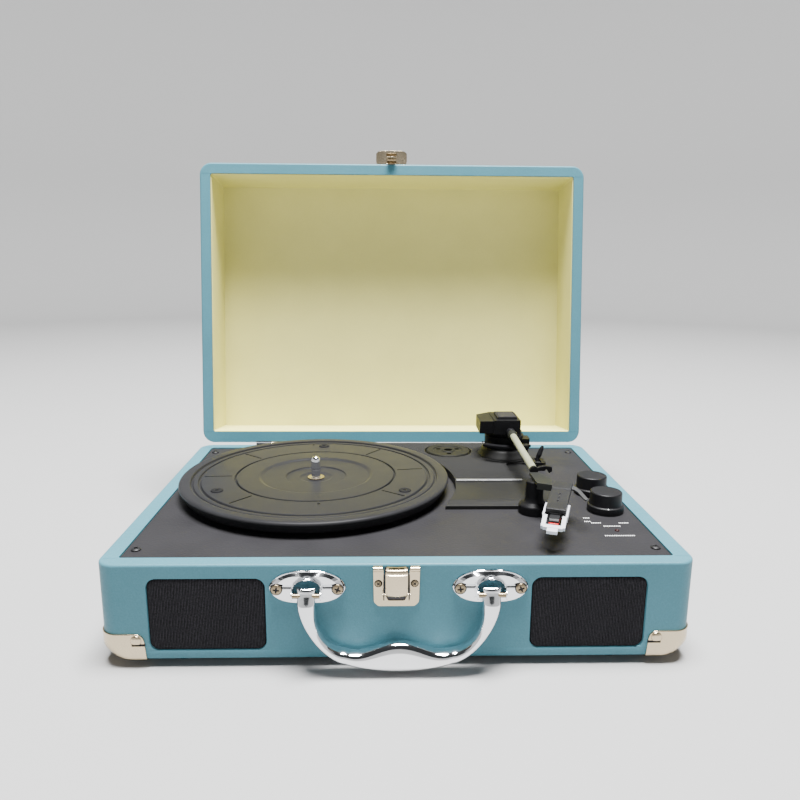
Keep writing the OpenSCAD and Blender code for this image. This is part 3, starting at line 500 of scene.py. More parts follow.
def smooth(t):
    t = max(0.0, min(1.0, t))
    return t * t * (3 - 2 * t)


CORNER_RUN = 15  # how far along the outline a corner's ball fades out


def edge_radius(x, y, radius, ball):
    """The vertical rounding under the outline: ball at a corner's middle, radius further along."""
    dx, dy = past_straights(x, y)
    if dx > 0 and dy > 0:
        run = CORNER_R * abs(atan2(dy, dx) - pi / 4)
    else:
        run = CORNER_ARC / 2 - min(dx, dy)
    return radius + (ball - radius) * (1 - smooth(run / CORNER_RUN))


def soften(bm, edge_z, up, radius, ball=0.0, hinged=False):
    """Rounds the outer edge at height edge_z, with the solid on the side up of it, and the four
    corners to a ball if one is given. A hinged edge stays square along the back."""
    levels = [radius * s for s in (0.1, 0.3, 0.6, 1)]
    if ball:
        levels += [ball * s for s in (0.38, 0.58, 0.78, 1)]
    for level in levels:
        cut_plane(bm, (0, 0, edge_z + up * level), (0, 0, 1))
    if ball:
        for s in (-1, 1):
            for back_off in (0, 1.6, 3.2, 4.8, 6.4):
                reach = edge_z + up * ball
                cut_plane(bm, (s * (HALF_W - CORNER_R - back_off), 0, 0), (1, 0, 0), edge_z, reach)
                cut_plane(bm, (0, s * (BACK - CORNER_R - back_off), 0), (0, 1, 0), edge_z, reach)
    for vert in bm.verts:
        depth, inward = from_outline(vert.co.x, vert.co.y)
        height = (vert.co.z - edge_z) * up
        here = edge_radius(vert.co.x, vert.co.y, radius, ball or radius)
        if hinged:
            here *= smooth((BACK - vert.co.y) / CORNER_R)
        if height < -1e-3 or height >= here:
            continue
        if abs(depth) < 0.02:
            inset = here - sqrt(max(0.0, here ** 2 - (here - height) ** 2))
        elif height < 1e-3 and depth < here:
            inset = here - depth
        else:
            continue
        vert.co.x += inward[0] * inset
        vert.co.y += inward[1] * inset


case = from_node("case_shell")
soften(case, 0, 1, 2.5, CORNER_R)
soften(case, BASE_H, -1, 1.6)
bevel(case, 0.7, 2, 60, lambda a, b: max(abs(a.z - BASE_H), abs(b.z - BASE_H)) < 0.01
      and max(from_outline(p.x, p.y)[0] for p in (a, b)) > 6)
build("case_body", case, "leatherette", "case", replaces=("case_shell",), sharp=40)

RIM_Z = HINGE.z + 0.3
LID_TOP = RIM_Z + 54.5
lid = from_node("lid_shell", lid=True)
soften(lid, LID_TOP, -1, 3, CORNER_R)
soften(lid, RIM_Z, 1, 1.8, hinged=True)
build("lid_body", lid, "leatherette", "lid", replaces=("lid_shell",), lid=True, sharp=40)

rounded_node("lid_paper", "lid_lining", "lining", "lid", 0.5, 50, lid=True)

# ---- metal corners ----


CAP_H, CAP_REACH, CAP_TIP = 17, 15, 4.5
CAP_THICK, CAP_GAP = 0.8, 0.05


def cap_section(along):
    """One cross-section of a metal corner at a distance along the outline, as a closed ring."""
    past = max(0.0, -along, along - CORNER_ARC)
    def place(inset, z):
        reach = past * (1 + 0.09 * (1 - z / CAP_H))
        if along < 0:
            return (HALF_W - inset, BACK - CORNER_R - reach, z)
        if along > CORNER_ARC:
            return (HALF_W - CORNER_R - reach, BACK - inset, z)
        angle = along / CORNER_R
        return (HALF_W - CORNER_R + (CORNER_R - inset) * cos(angle),
                BACK - CORNER_R + (CORNER_R - inset) * sin(angle), z)
    radius = 2.5 + (CORNER_R - 2.5) * (1 - smooth(abs(along - CORNER_ARC / 2) / CORNER_RUN))
    left = CAP_REACH - past
    top = CAP_H - (CAP_TIP - sqrt(max(0.0, CAP_TIP ** 2 - (CAP_TIP - left) ** 2)) if left < CAP_TIP else 0)
    outer, inner = [place(radius + 2.2, -CAP_THICK)], [place(radius + 2.2, -CAP_GAP)]
    for k in range(9):
        a = pi / 2 * k / 8
        for ring, r, gap in ((outer, radius + CAP_THICK, CAP_THICK), (inner, radius, CAP_GAP)):
            ring.append(place(r * (1 - sin(a)) - gap, r * (1 - cos(a)) - gap))
    for k in range(1, 5):
        z = radius + (top - 1.2 - radius) * k / 4
        outer.append(place(-CAP_THICK, z))
        inner.append(place(-CAP_GAP, z))
    for lip, z in ((0.95, top - 0.9), (1.0, top - 0.5), (0.85, top - 0.12), (0.5, top)):
        outer.append(place(-lip, z))
        inner.append(place(-CAP_GAP, z - 0.05))
    return outer + inner[::-1]


def metal_corners(name, node, body, lid=False):
    """Four pressed corners, each with a nail's slot with painted shade inside it, and a dome on both sides.
    """
    ends = [-CAP_REACH + 0.05, -14.8, -14.3, -13.6, -12.6, -11.4, -10.4, -8, -6.4, -4.8, -3.2, -1.6, 0]
    runs = ends + [CORNER_ARC * k / 12 for k in range(1, 12)] + [CORNER_ARC - r for r in reversed(ends)]
    def level(z):
        return LID_TOP - z if lid else z
    bm, slots, slot_shade_strips = bmesh.new(), bmesh.new(), bmesh.new()
    slot_off, slot_z, slot_half = 22.9, level(10.1), 0.8
    for sx, sy in CORNERS:
        loft(bm, [[(sx * x, sy * y, level(z)) for x, y, z in cap_section(run)] for run in runs])
        for x, y, turn in ((HALF_W - slot_off, BACK, 1), (HALF_W, BACK - slot_off, -1)):
            for solid, size, radius, steps in ((slots, (7.9, 3), 0.4, 3), (slot_shade_strips, (7.7, 0.5), 0.1, 2)):
                slab(solid, box_outline(sx * x, sy * y, *size[::turn], radius, steps),
                     slot_z - slot_half, slot_z + slot_half)
    # painted shade: dark strips inside the slots, where the covering behind lies in shade
    build(name + "_slot_painted_shade", slot_shade_strips, "black_plastic", body, lid=lid)
    bmesh.ops.recalc_face_normals(bm, faces=bm.faces)
    bm = cut_away(bm, slots)
    # pressed domes beside the slots, flat along the slot
    dome_off, dome_z, dome_r, dome_h, around, rises = 21.6, 12.9, 3.3, 1.5, 28, 6
    for sx, sy in CORNERS:
        for on_side in (True, False):
            rings = []
            for ring in range(rises):
                a = pi / 2 * ring / rises
                r, out = dome_r * cos(a), 0.75 + dome_h * sin(a)
                points = []
                for k in range(around):
                    b = 2 * pi * k / around
                    u, z = r * cos(b), level(dome_z + max(r * sin(b), -2.2 + 0.1 * ring))
                    points.append((sx * (HALF_W + out), sy * (BACK - dome_off + u), z) if on_side
                                  else (sx * (HALF_W - dome_off + u), sy * (BACK + out), z))
                rings.append(points)
            loft(bm, rings)
    build(name, bm, "nickel", body, replaces=(node,), lid=lid, sharp=50)


metal_corners("case_metal_corners", "case_corners", "case")
metal_corners("lid_metal_corners", "lid_corners", "lid", lid=True)

# ---- creases where the covering is folded over at the corners, drawn as thin strips in painted shade ----

CREASE = 0.16  # half a crease's width
case_creases, lid_creases = bmesh.new(), bmesh.new()
for sx, sy in CORNERS:
    for bm, off_a, off_b, low, high in (
            (case_creases, (10.8, 9.6), (2.6, 9.1), BASE_H - 0.1, BASE_H + 0.06),
            (lid_creases, (9.4, 9.8), (1.9, 9.8), RIM_Z - 0.06, RIM_Z + 0.1)):
        (xa, ya), (xb, yb) = ((sx * (HALF_W - x), sy * (BACK - y)) for x, y in (off_a, off_b))
        slab(bm, [(xa, ya - CREASE), (xb, yb - CREASE), (xb, yb + CREASE), (xa, ya + CREASE)], low, high)
build("case_creases", case_creases, "painted_shade_leather", "case")
build("lid_creases", lid_creases, "painted_shade_leather", "lid", lid=True)

# ---- loudspeaker cloth ----


def grille(name, node):
    """Ribbed cloth, drawn tight over a board with soft edges."""
    low, high = (local(p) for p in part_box(node))
    half_w, half_h, corner = (high.x - low.x) / 2, (high.z - low.z) / 2, 5.8
    mid_x, mid_z = (low.x + high.x) / 2, (low.z + high.z) / 2
    pitch = 1.75
    ribs = int(2 * half_w / pitch)
    columns = [(-half_w + 2 * half_w * k / (3 * ribs), (0.0, 0.26, 0.26)[k % 3]) for k in range(3 * ribs + 1)]
    spread = [0, 0.006, 0.02, 0.05, 0.1, 0.25, 0.5, 0.75, 0.9, 0.95, 0.98, 0.994, 1]
    bm = bmesh.new()
    front_rows, back_rows = [], []
    for u, rib in columns:
        bite = max(0.0, abs(u) - (half_w - corner))
        top = half_h - (corner - sqrt(max(0.0, corner ** 2 - bite ** 2)))
        front_line, back_line = [], []
        for t in spread:
            v = -top + 2 * top * t
            edge = min(half_w - abs(u), top - abs(v))
            crown = 1.15 * (1 - exp(-edge / 0.9)) + 0.25 * (1 - (u / half_w) ** 2) * (1 - (v / half_h) ** 2)
            front_line.append((mid_x + u, high.y - 0.9 - crown - rib * min(1, edge), mid_z + v))
            back_line.append((mid_x + u, high.y - 0.4, mid_z + v))
        front_rows.append(front_line)
        back_rows.append(back_line)
    loft(bm, [f + b[::-1] for f, b in zip(front_rows, back_rows)])
    build(name, bm, "cloth", "case", replaces=(node,), sharp=60)


grille("cloth_left", "grille_left")
grille("cloth_right", "grille_right")

# ---- handle ----

PIN = pivot("handle_hinge")
SPAN = 106      # between the handle's two pins
PLATE_Z = 46    # height of the middle of the handle's plates


def handle_rails(side):
    """Outer and inner points, and the depths in front and behind, from the grip's middle to the pin."""
    pairs = []
    half, bow, mid_h, end_h, low0, thick = 31, 6, 19, 8.2, -3.2, 5.6
    def low(x):
        return low0 + bow * (x / half) ** 2
    def high(x):
        return low(x) + end_h + (mid_h - end_h) * (0.5 + 0.5 * cos(pi * min(1, abs(x) / half)))
    for k in range(21):
        x = half * k / 20
        pairs.append(((x, low(x)), (x, high(x)), thick, thick))
    steps = 22
    def bend(start, end_x, rise, square, a):
        return (half + (end_x - half) * sin(a) ** square, start + rise * (1 - cos(a) ** square))
    for k in range(1, steps + 1):
        a = pi / 2 * k / steps
        outer = bend(low(half), SPAN / 2 + 5.3, 36, 1.3, a)
        inner = bend(high(half), SPAN / 2 - 5.3, 22, 1.05, a)
        bent = smooth(k / steps * 1.4)
        pairs.append((outer, inner, thick - 0.6 * bent, thick - 1.6 * bent))
    last_out, last_in = pairs[-1][0], pairs[-1][1]
    for rise, front in ((-5.6, 5), (-5, 4.85), (-4.4, 4.55), (-3, 3.75), (-1.5, 2.9), (0, 2.05), (1.4, 1.25)):
        z = PIN.z + rise
        if z > last_out[1] + 0.3:
            pairs.append(((last_out[0], z), (last_in[0], z), front, 4))
    return [((side * o[0], o[1]), (side * i[0], i[1]), f, b) for o, i, f, b in pairs]


def section(outer, inner, front, back):
    """Rounded section between an outer and an inner point, in the handle's plane."""
    around, power = 32, 2.25
    mid = Vector(((outer[0] + inner[0]) / 2, PIN.y + (back - front) / 2, (outer[1] + inner[1]) / 2))
    depth = (front + back) / 2
    half = Vector(((outer[0] - inner[0]) / 2, 0, (outer[1] - inner[1]) / 2))
    ring = []
    for k in range(around):
        a = 2 * pi * (k + 0.5) / around
        c, s = cos(a), sin(a)
        u = copysign(abs(c) ** (2 / power), c)
        v = copysign(abs(s) ** (2 / power), s)
        ring.append(mid + half * u + Vector((0, depth * v, 0)))
    return ring


bm = bmesh.new()
rings = [section(*pair) for pair in [*reversed(handle_rails(-1)[1:]), *handle_rails(1)]]
for end in (0, -1):  # domed tops of the arms
    caps = []
    ring = rings[end]
    centre = sum(ring, Vector()) / len(ring)
    for k in range(1, 8):
        a = pi / 2 * k / 8
        caps.append([Vector((p.x, centre.y + (p.y - centre.y) * cos(a), p.z + 2.9 * sin(a))) for p in ring])
    rings = caps[::-1] + rings if end == 0 else rings + caps
loft(bm, rings)
build("handle_grip", bm, "chrome", "handle", replaces=("handle",), sharp=70)


def boat_edge(angle):
    """A point on the plate's boat-shaped edge."""
    half_w, height = 22.2, 10.8 if sin(angle) >= 0 else -9.2
    return Vector((half_w * cos(angle), height * max(0.0, 1 - abs(cos(angle)) ** 2.6) ** 0.57))


def arch_edge(angle):
    """A point on the plate's hole: flat sides and sill, round top."""
    half_w, high, flat, low = 7.8, 6.4, 0.8, -5.4
    c, s = cos(angle), sin(angle)
    ray, side = Vector((c, s)), half_w / abs(c)
    if s < 0:
        return ray * min(side, low / s)
    # the round top is half of an ellipse above the sides
    a = (c / half_w) ** 2 + (s / (high - flat)) ** 2
    b = -2 * s * flat / (high - flat) ** 2
    k = (flat / (high - flat)) ** 2 - 1
    over = ray * ((-b + sqrt(max(0.0, b * b - 4 * a * k))) / (2 * a))
    return over if over.y > flat else ray * side


def handle_plate(name, node, side):
    centre_x = side * SPAN / 2
    count = 112
    rows = []
    for a in (2 * pi * (k + 0.5) / count for k in range(count)):
        hole, rim = arch_edge(a), boat_edge(a)
        out = (rim - hole).normalized()
        hood = smooth((hole.y + 0.5) / 3.5)
        lip = 3.2 + 1.9 * hood
        length = (rim - hole).length
        def at(distance, height):
            p = hole + out * min(distance, length)
            return (centre_x + p.x, FRONT - height, PLATE_Z + p.y)
        up = max(0.0, sin(a))
        shoulder = max(1.75, length - 1.1 - 3.0 * smooth(up * 2.2 + 0.1))
        foot = 0.75 + (1 - smooth(up * 6)) * 1.4
        # the bevel keeps its slope where the hole comes close to the edge
        face = 2.9 + (min(2.9, foot + 0.72 * (length - 1.1 - shoulder)) - 2.9) * smooth(up * 4)
        rows.append([at(0.9, 0.05), at(0, 0.2), at(0, lip - 0.35), at(0.15, lip), at(0.55, lip + 0.18),
                     at(0.95, lip), at(1.2, lip - 0.4), at(1.4, face - 0.1), at(1.7, face),
                     at(shoulder, face), at(length - 1.1, foot), at(length - 0.95, foot),
                     at(length - 0.8, 1.2), at(length - 0.45, 1.35), at(length - 0.1, 0.95), at(length, 0.1)])
    bm = bmesh.new()
    made = [[bm.verts.new(p) for p in row] for row in rows]
    for i in range(count):
        a, b = made[i], made[(i + 1) % count]
        for k in range(len(a)):
            m = (k + 1) % len(a)
            bm.faces.new((a[k], b[k], b[m], a[m]))
    for s in (-1, 1):  # lugs that carry the rod
        x = centre_x + s * 8.2
        lug = [(FRONT - 0.5, 41), (PIN.y - 2.2, 42.4), (PIN.y - 2.2, 46.6), (FRONT - 0.5, 49)]
        slab(bm, rounded(lug, 2.1, 5), x - 0.35, x + 0.35, along_x)
    build(name, bm, "chrome", "case", replaces=(node,), sharp=26)


bm = bmesh.new()
for side in (-1, 1):  # painted shade: a dark sheet of the covering behind the plates' holes
    slab(bm, [(side * SPAN / 2 + p.x * 1.04, PLATE_Z + p.y * 1.04) for p in
              (arch_edge(2 * pi * (k + 0.5) / 48) for k in range(48))], 0.01, 0.12, on_front)
build("handle_hole_painted_shade", bm, "painted_shade_leather", "case")
handle_plate("plate_left", "handle_plate_left", -1)
handle_plate("plate_right", "handle_plate_right", 1)


def cross_outline(arm, wide, twist):
    quarter = [(arm, -wide * 0.7), (arm, wide * 0.7), (wide, wide)]
    turns = [Matrix.Rotation(radians(twist + 90 * k), 2) for k in range(4)]
    return [turn @ Vector(p) for turn in turns for p in quarter]


def cross_screw(heads, painted_shades, x, z, out, radius, height, twist):
    """Domed cross-head screw on the front, and painted shade at the bottom of its cross and in the gap round
    its head.
    """
    profile = [(0, -1.2), (radius * 0.5, -1.2), (radius * 0.5, 0), (radius, 0), (radius, height * 0.3)]
    profile += [(radius * cos(pi / 2 * k / 8), height * (0.3 + 0.7 * sin(pi / 2 * k / 8)))
                for k in range(1, 8)] + [(0, height)]
    slots = bmesh.new()
    slab(slots, cross_outline(radius * 0.62, radius * 0.19, twist), height * 0.15, height + 1)
    head = cut_away(turned(profile, (0, 0, 0), 32), slots)
    for vert in head.verts:
        u, v, w = vert.co
        vert.co = (x + u, FRONT - out - w, z + v)
    mesh = mesh_of(head, "screw")
    heads.from_mesh(mesh)
    bpy.data.meshes.remove(mesh)
    slab(painted_shades, [(x + p.x, z + p.y) for p in cross_outline(radius * 0.6, radius * 0.18, twist)],
         out + height * 0.1, out + height * 0.62, on_front)
    lathe(painted_shades, [(radius * 0.9, 0), (radius + 0.5, 0), (radius + 0.4, 0.12), (radius * 0.9, 0.12)],
          (x, FRONT - out, z), 32, "-Y")


screws, painted_shades = bmesh.new(), bmesh.new()
for side in (-1, 1):
    for end, twist in ((-1, 8), (1, 22)):
        cross_screw(screws, painted_shades, side * SPAN / 2 + end * 17.6, PLATE_Z, 2.9, 3.1, 1.2, twist * side)
build("handle_plate_screws", screws, "screw_metal", "case", replaces=("handle_screws",), sharp=40)
# painted shade in the screws' crosses and round their heads
build("handle_screw_painted_shade", painted_shades, "black_plastic", "case")
bm = bmesh.new()
for side in (-1, 1):
    lathe(bm, [(0, -8.3), (1.2, -8.3), (1.4, -8.1), (1.4, 8.1), (1.2, 8.3), (0, 8.3)],
          (side * SPAN / 2, PIN.y, PIN.z), 24, "X")
build("handle_rods", bm, "screw_metal", "case", replaces=("handle_pins",))

# ---- latch and catch ----

LATCH = pivot("latch_hinge")
LATCH_X = middle("latch_plate").x
LATCH_LOW = low_of("latch_plate")
LATCH_TOP = BASE_H - 1
ROLL_R = 1.55   # of the plate's rolled tabs

# The plate: a U round the lever, with rolled tabs at its top
bm = bmesh.new()
rise = LATCH_TOP - 1.6 - LATCH_LOW
outline = [(-13.5, rise), (-13.1, 2.6), (-10.6, 0), (10.6, 0), (13.1, 2.6), (13.5, rise),
           (7.6, rise), (7.6, 9.5), (4.9, 3.4), (-4.9, 3.4), (-7.6, 9.5), (-7.6, rise)]
slab(bm, [(LATCH_X + u, LATCH_LOW + v) for u, v in rounded(outline, 1.1, 5)], 0, 1.2, on_front)
bevel(bm, 0.35, 2, 60, lambda a, b: a.y < FRONT - 1 and b.y < FRONT - 1)
for s in (-1, 1):
    roll = [(FRONT - ROLL_R + ROLL_R * cos(a), LATCH_TOP - ROLL_R + ROLL_R * sin(a))
            for a in (pi * (0.5 + k / 12) for k in range(13))]
    slab(bm, [(FRONT, LATCH_TOP), *roll, (FRONT, LATCH_TOP - 2 * ROLL_R)],
         *sorted((LATCH_X + s * 8.1, LATCH_X + s * 13.4)), along_x)
build("latch_body", bm, "nickel", "case", replaces=("latch_plate",), sharp=35)
bm = bmesh.new()
slab(bm, [(LATCH_X + u, v) for v, ends in ((LATCH_LOW + 1.9, (-6.9, 6.9)), (LATCH_TOP - 1, (6.9, -6.9)))
          for u in ends], 0.02, 0.3, on_front)
for s in (-1, 1):  # cheeks that carry the lever's pin
    x = LATCH_X + s * 7.35
    cheek = rounded([(FRONT - 0.8, LATCH_LOW + 3), (LATCH.y - 1.5, LATCH_LOW + 6.6),
                     (LATCH.y - 1.5, LATCH_LOW + 11), (FRONT - 0.8, LATCH_LOW + 21)], 1.6, 4)
    slab(bm, cheek, x - 0.3, x + 0.3, along_x)
build("latch_backing", bm, "dark_metal", "case", edge=0.1)

# The lever: a curved tongue with round lower corners and a folded top with a slot
# How far out, how high, and half of how wide
profile = [(5.9, 8.0, 4.2), (6.4, 8.4, 5.4), (6.8, 9.2, 6.1), (7.1, 10.3, 6.35), (7.35, 11.5, 6.35),
           (7.55, 13, 6.35), (7.5, 16, 6.35), (7.2, 20, 6.35), (6.95, 21.6, 6.35), (6.55, 21.9, 6.35),
           (6.5, 22.3, 6.35), (6.75, 22.8, 6.35), (6.5, 23.6, 6.3), (6, 24.3, 6.2), (5, 24.75, 6),
           (3.4, 24.9, 5.8), (2.2, 24.95, 5.2)]
rows = [[(LATCH_X + width * t, FRONT - out + 0.7 * t ** 4, LATCH_LOW + up)
         for t in (k / 8 for k in range(-8, 9))] for out, up, width in profile]
back_rows = [[(x, y + 0.75 if up < 24 else y, z - (0 if up < 23 else 0.7)) for x, y, z in row]
             for row, (out, up, width) in zip(rows, profile)]
bm, cutter = bmesh.new(), bmesh.new()
loft(bm, [f + b[::-1] for f, b in zip(rows, back_rows)])
slab(cutter, box_outline(LATCH_X, FRONT - 4.5, 9, 2.1, 0.5, 3), LATCH_LOW + 22.5, LATCH_LOW + 27)
bm = cut_away(bm, cutter)
for s in (-1, 1):  # wings folded back round the pin
    x = LATCH_X + s * 6
    wing = [(FRONT - out, LATCH_LOW + up) for out, up in ((7, 9.3), (7.1, 15), (2.4, 12.6), (2.6, 7.4))]
    slab(bm, rounded(wing, 1.6, 4), x - 0.35, x + 0.35, along_x)
build("latch_tongue", bm, "nickel", "latch_lever", replaces=("latch_lever",), sharp=40)
screws, painted_shades = bmesh.new(), bmesh.new()
for s in (-1, 1):
    cross_screw(screws, painted_shades, LATCH_X + s * 10.5, LATCH_LOW + 14.2, 1.15, 1.9, 0.75, 45)
build("latch_plate_screws", screws, "screw_metal", "case", replaces=("latch_screws",), sharp=40)
# painted shade in the screws' crosses and round their heads
build("latch_screw_painted_shade", painted_shades, "black_plastic", "case")

# The lid's fittings: hinge leaves with countersunk screws, and the pressed catch
rounded_node("lid_catch_and_leaves", "lid_fittings", "nickel", "lid", 0.3, 40, lid=True)
HEAD = [(0, -1), (1.3, -1), (1.3, 0), (2.5, 0.1), (2.5, 0.35), (1.8, 0.75), (0.5, 0.95), (0.5, 0.4), (0, 0.4)]
for node, body, up in (("hinge_screws", "case", -1), ("hinge_lid_screws", "lid", 1)):
    screws = bmesh.new()
    for x in (-118, -92, 92, 118):
        lathe(screws, HEAD, (x, BACK + 0.9, HINGE.z + up * 10.9), 24, "Y")
    build(node, screws, "nickel", body, lid=up > 0)

# The covering runs across the gap between the lid and the case
tape = bmesh.new()
slab(tape, [(BACK + out, BASE_H + up) for out, up in
            ((0.1, -14), (0.45, -14), (0.55, 0.6), (0.35, 1.15), (0.15, 0.6))], -82, 82, along_x)
build("hinge_tape", tape, "leatherette", "case", edge=0.05)

# ---- deck ----

DECK = top_of("deck_plate")
marks = bmesh.new()
lamp = middle("led")
# Rows of dots where the photo has small printed words: each row's first dot, from the lamp, and how many
for x, y, count in ((-15.6, 22.2, 4), (-16.6, 15.9, 4), (-12.6, 13.4, 6), (5.8, 13.2, 6), (-6, 7.7, 10),
                    (-10, -8.1, 17)):
    for k in range(count):
        dot = box_outline(lamp.x + x + 1.15 * k, lamp.y + y, 0.62, 1.3, 0.15, 2)
        slab(marks, dot, DECK - 0.05, DECK + 0.1)
build("deck_marks", marks, "printed_white", "case")
PANEL = top_of("arm_panel")
ADAPTER = middle("adapter")
PLATTER = pivot("platter_spin")
ARM = pivot("arm_swing")
REST = middle("arm_rest")
panel = from_node("arm_panel")
bevel(panel, 0.5, 2, 20, lambda a, b: a.z > DECK + 0.5 and b.z > DECK + 0.5)
build("panel_body", panel, "panel_plastic", "case", replaces=("arm_panel",), sharp=30)


def spans_left(y, holes, start, end):
    """Stretches of a line at y that stay clear of round holes, each given as x, y and radius."""
    spans = [(start, end)]
    for hx, hy, r in holes:
        if abs(y - hy) >= r:
            continue
        half = sqrt(r * r - (y - hy) ** 2)
        cut = []
        for a, b in spans:
            if hx - half > a:
                cut.append((a, min(b, hx - half)))
            if hx + half < b:
                cut.append((max(a, hx + half), b))
        spans = cut
    return [(a, b) for a, b in spans if b - a > 1.5]


PANEL_START = -21   # left end of the arm panel's visible part
# the adapter's recess, the turret, both ends of the hollow in front of it, the platter, and the cue's post
holes = [(ADAPTER.x, ADAPTER.y, 21), (ARM.x, ARM.y, 22.6), (101, 36, 9.6), (101, 45.5, 9.6),
         (PLATTER.x, PLATTER.y, 106.6), (109.5, 57, 3)]
ribs = bmesh.new()
row = 13.4
while row < 114:
    for a, b in spans_left(row, holes, PANEL_START, 112.6):
        outline = [(row + y, PANEL + up) for y, up in
                   ((-0.5, -0.05), (0.5, -0.05), (0.3, 0.22), (0, 0.3), (-0.3, 0.22))]
        slab(ribs, outline, a, b, along_x)
    row += 1.55
# a raised ridge between the panel's ribbed and smooth parts, its light grey a painted highlight on its
# chamfer
ridge = bmesh.new()
ridge_y = 9.6
holes = [(PLATTER.x, PLATTER.y, 107), (REST.x, REST.y, 11)]
for a, b in spans_left(ridge_y, holes, PANEL_START, REST.x + 2):
    slab(ridge, [(ridge_y + y, PANEL + up) for y, up in
                 ((1.5, -0.05), (-1.5, -0.05), (-1, 0.35), (1.2, 0.45))], a, b, along_x)
build("panel_ridge", ridge, "ridge_painted_highlight", "case", edge=0.1)
build("panel_ribs", ribs, "panel_plastic", "case", sharp=25)

# ---- platter ----

TOP = 70.5      # of the platter's rim
BORE = 4.05     # of the platter and the turret
profile = [(BORE, 60.2), (8, 60.2), (8, 63.5), (11, 65), (20, 66.1), (40, 66.6), (43, 67.4), (58, 67.4),
           (58, 61.1), (61, 61.1), (61, 67.4), (93.5, 67), (95.2, 62.6), (97.2, 62.6), (98.4, 65.2),
           (99.6, 66.9), (100.1, 67.6), (100.3, 68.3), (100.25, 69), (99.9, 69.6), (99.3, 70.1),
           (98.4, 70.4), (97.2, 70.5), (93.4, 70.5), (92.4, 70.45), (91.9, 70.2), (91.7, 69.3),
           (91.2, 68.7), (90.4, 68.7), (90, 69.2), (89.6, 69.6), (88.8, 69.75), (86.9, 69.75),
           (86.4, 69.5), (86.1, 68.6), (85.5, 68.3), (84.8, 68.4), (84.5, 69.2), (84.1, 69.7),
           (83.4, 69.9), (60.9, 69.9), (60.5, 69.8), (60.3, 69.4), (60.15, 68.5), (59.7, 68.2),
           (59.1, 68.3), (58.9, 69.4), (58.6, 69.8), (58.2, 69.9), (43.4, 69.9), (42.4, 69.75),
           (41.4, 69.2), (40.6, 68.75), (39.6, 68.6), (23.4, 68.6), (22.9, 68.4), (22.7, 67.9),
           (22.2, 67.6), (13.2, 67.6), (12.2, 67.4), (11.2, 67), (10.3, 66.8), (9.4, 66.7), (BORE, 66.7)]
bm = turned(profile, (PLATTER.x, PLATTER.y, 0), 256)
cutter = bmesh.new()
for degrees in (9, 54, 140, 184.5, 230.5, 323):
    turn = Matrix.Translation((PLATTER.x, PLATTER.y, 0)) @ Matrix.Rotation(radians(degrees), 4, "Z")
    outline = box_outline(72.6, 0, 20, 1.25, 0.5, 3)
    slab(cutter, [(turn @ Vector((u, v, 0))).xy for u, v in outline], TOP - 1.5, TOP + 1)
for x, y in ((-69.5, 90.7), (-52.3, -54.7)):
    lathe(cutter, [(0, TOP - 2.6), (1.1, TOP - 2.6), (1.1, TOP + 1), (0, TOP + 1)], (x, y, 0), 20)
bm = cut_away(bm, cutter)
build("platter_disc", bm, "platter_black", "platter", replaces=("platter",), sharp=28)
bm = bmesh.new()
for a in (-30, 90, 210):
    x, y = PLATTER.xy + 76.5 * Vector((cos(radians(a)), sin(radians(a))))
    lathe(bm, [(1.1, 0), (4.4, 0), (4.4, 0.35), (4.1, 0.7), (3.5, 0.85), (2.4, 0.9), (1.6, 0.8), (1.15, 0.5)],
          (x, y, TOP - 0.6), 36)
build("pads", bm, "rubber", "platter", replaces=("platter_pads",))
tip = top_of("spindle")
rod = [(0, 40), (4, 40), (4, 68), (3.55, 68.2), *((r, tip - down) for r, down in (
    (3.55, 4.4), (3.45, 3.4), (3.15, 2.2), (2.6, 1.2), (1.8, 0.45), (0.9, 0.08), (0, 0)))]
build("spindle_rod", turned(rod, (PLATTER.x, PLATTER.y, 0), 48), "chrome", "case", replaces=("spindle",))

# ---- tonearm ----

LIFT = pivot("arm_lift")
flare = [*((r, PANEL + up) for r, up in (
    (BORE, 0), (22, 0), (22, 0.5), (21.7, 1), (21, 2), (20.2, 3.3), (19.4, 4.7), (18.8, 5.8))),
         (18.1, 71.6), (17.2, 72.2), (BORE, 72.2)]
build("turret_flare", turned(flare, (ARM.x, ARM.y, 0), 72), "panel_plastic", "case", replaces=("arm_base",))
bm = turned([(BORE, 72.3), (16.2, 72.3), (16.5, 72.6), (16.5, 82.9), (16.1, 83.4), (BORE, 83.5)],
            (ARM.x, ARM.y, 0))
slab(bm, box_outline(ARM.x + 16.5, ARM.y - 4, 8, 12, 1.5), 72.4, 81)
build("turret_drum", bm, "gloss_black", "case", slot="black_plastic", sharp=35)
rounded_node("head_block", "arm_head", "gloss_black", "tonearm", 0.7, 30, 1.2, 3, slot="black_plastic",
             sharp=30)
tube_low, tube_high = (local(p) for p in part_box("arm_tube"))
start = Vector((97, tube_high.y + 0.02, 89))
end = Vector((97, tube_low.y + 0.05, 86.0))
direction = (end - start).normalized()
turn = direction.to_track_quat("Z", "Y").to_matrix()
length = (end - start).length
tube = [(0, 0), (2.4, 0), (2.75, 0.3), (2.75, length - 0.3), (2.5, length), (0, length)]
build("tube", turned(tube, start, 36, turn), "tube_metal", "tonearm", replaces=("arm_tube",), sharp=60)
sleeve = [(2.8, 0.1), (3.9, 0.1), (3.9, 5.4), (3.6, 5.9), (3.1, 6), (2.8, 6)]
build("tube_sleeve", turned(sleeve, start, 36, turn), "elbow_plastic", "tonearm")
rounded_node("collar_and_wing", "arm_collar", "gloss_black", "tonearm", 0.35, sharp=40)
for node, look, width in (("arm_elbow", "elbow_plastic", 0.3), ("headshell", "grey_plastic", 0.3),
                          ("finger_lift", "light_grey_plastic", 0.2), ("cartridge", "gloss_black", 0.3),
                          ("stylus", "red_plastic", 0.3)):
    rounded_node(node + "_part", node, look, "tonearm", width, shortest=0.4, sharp=35)
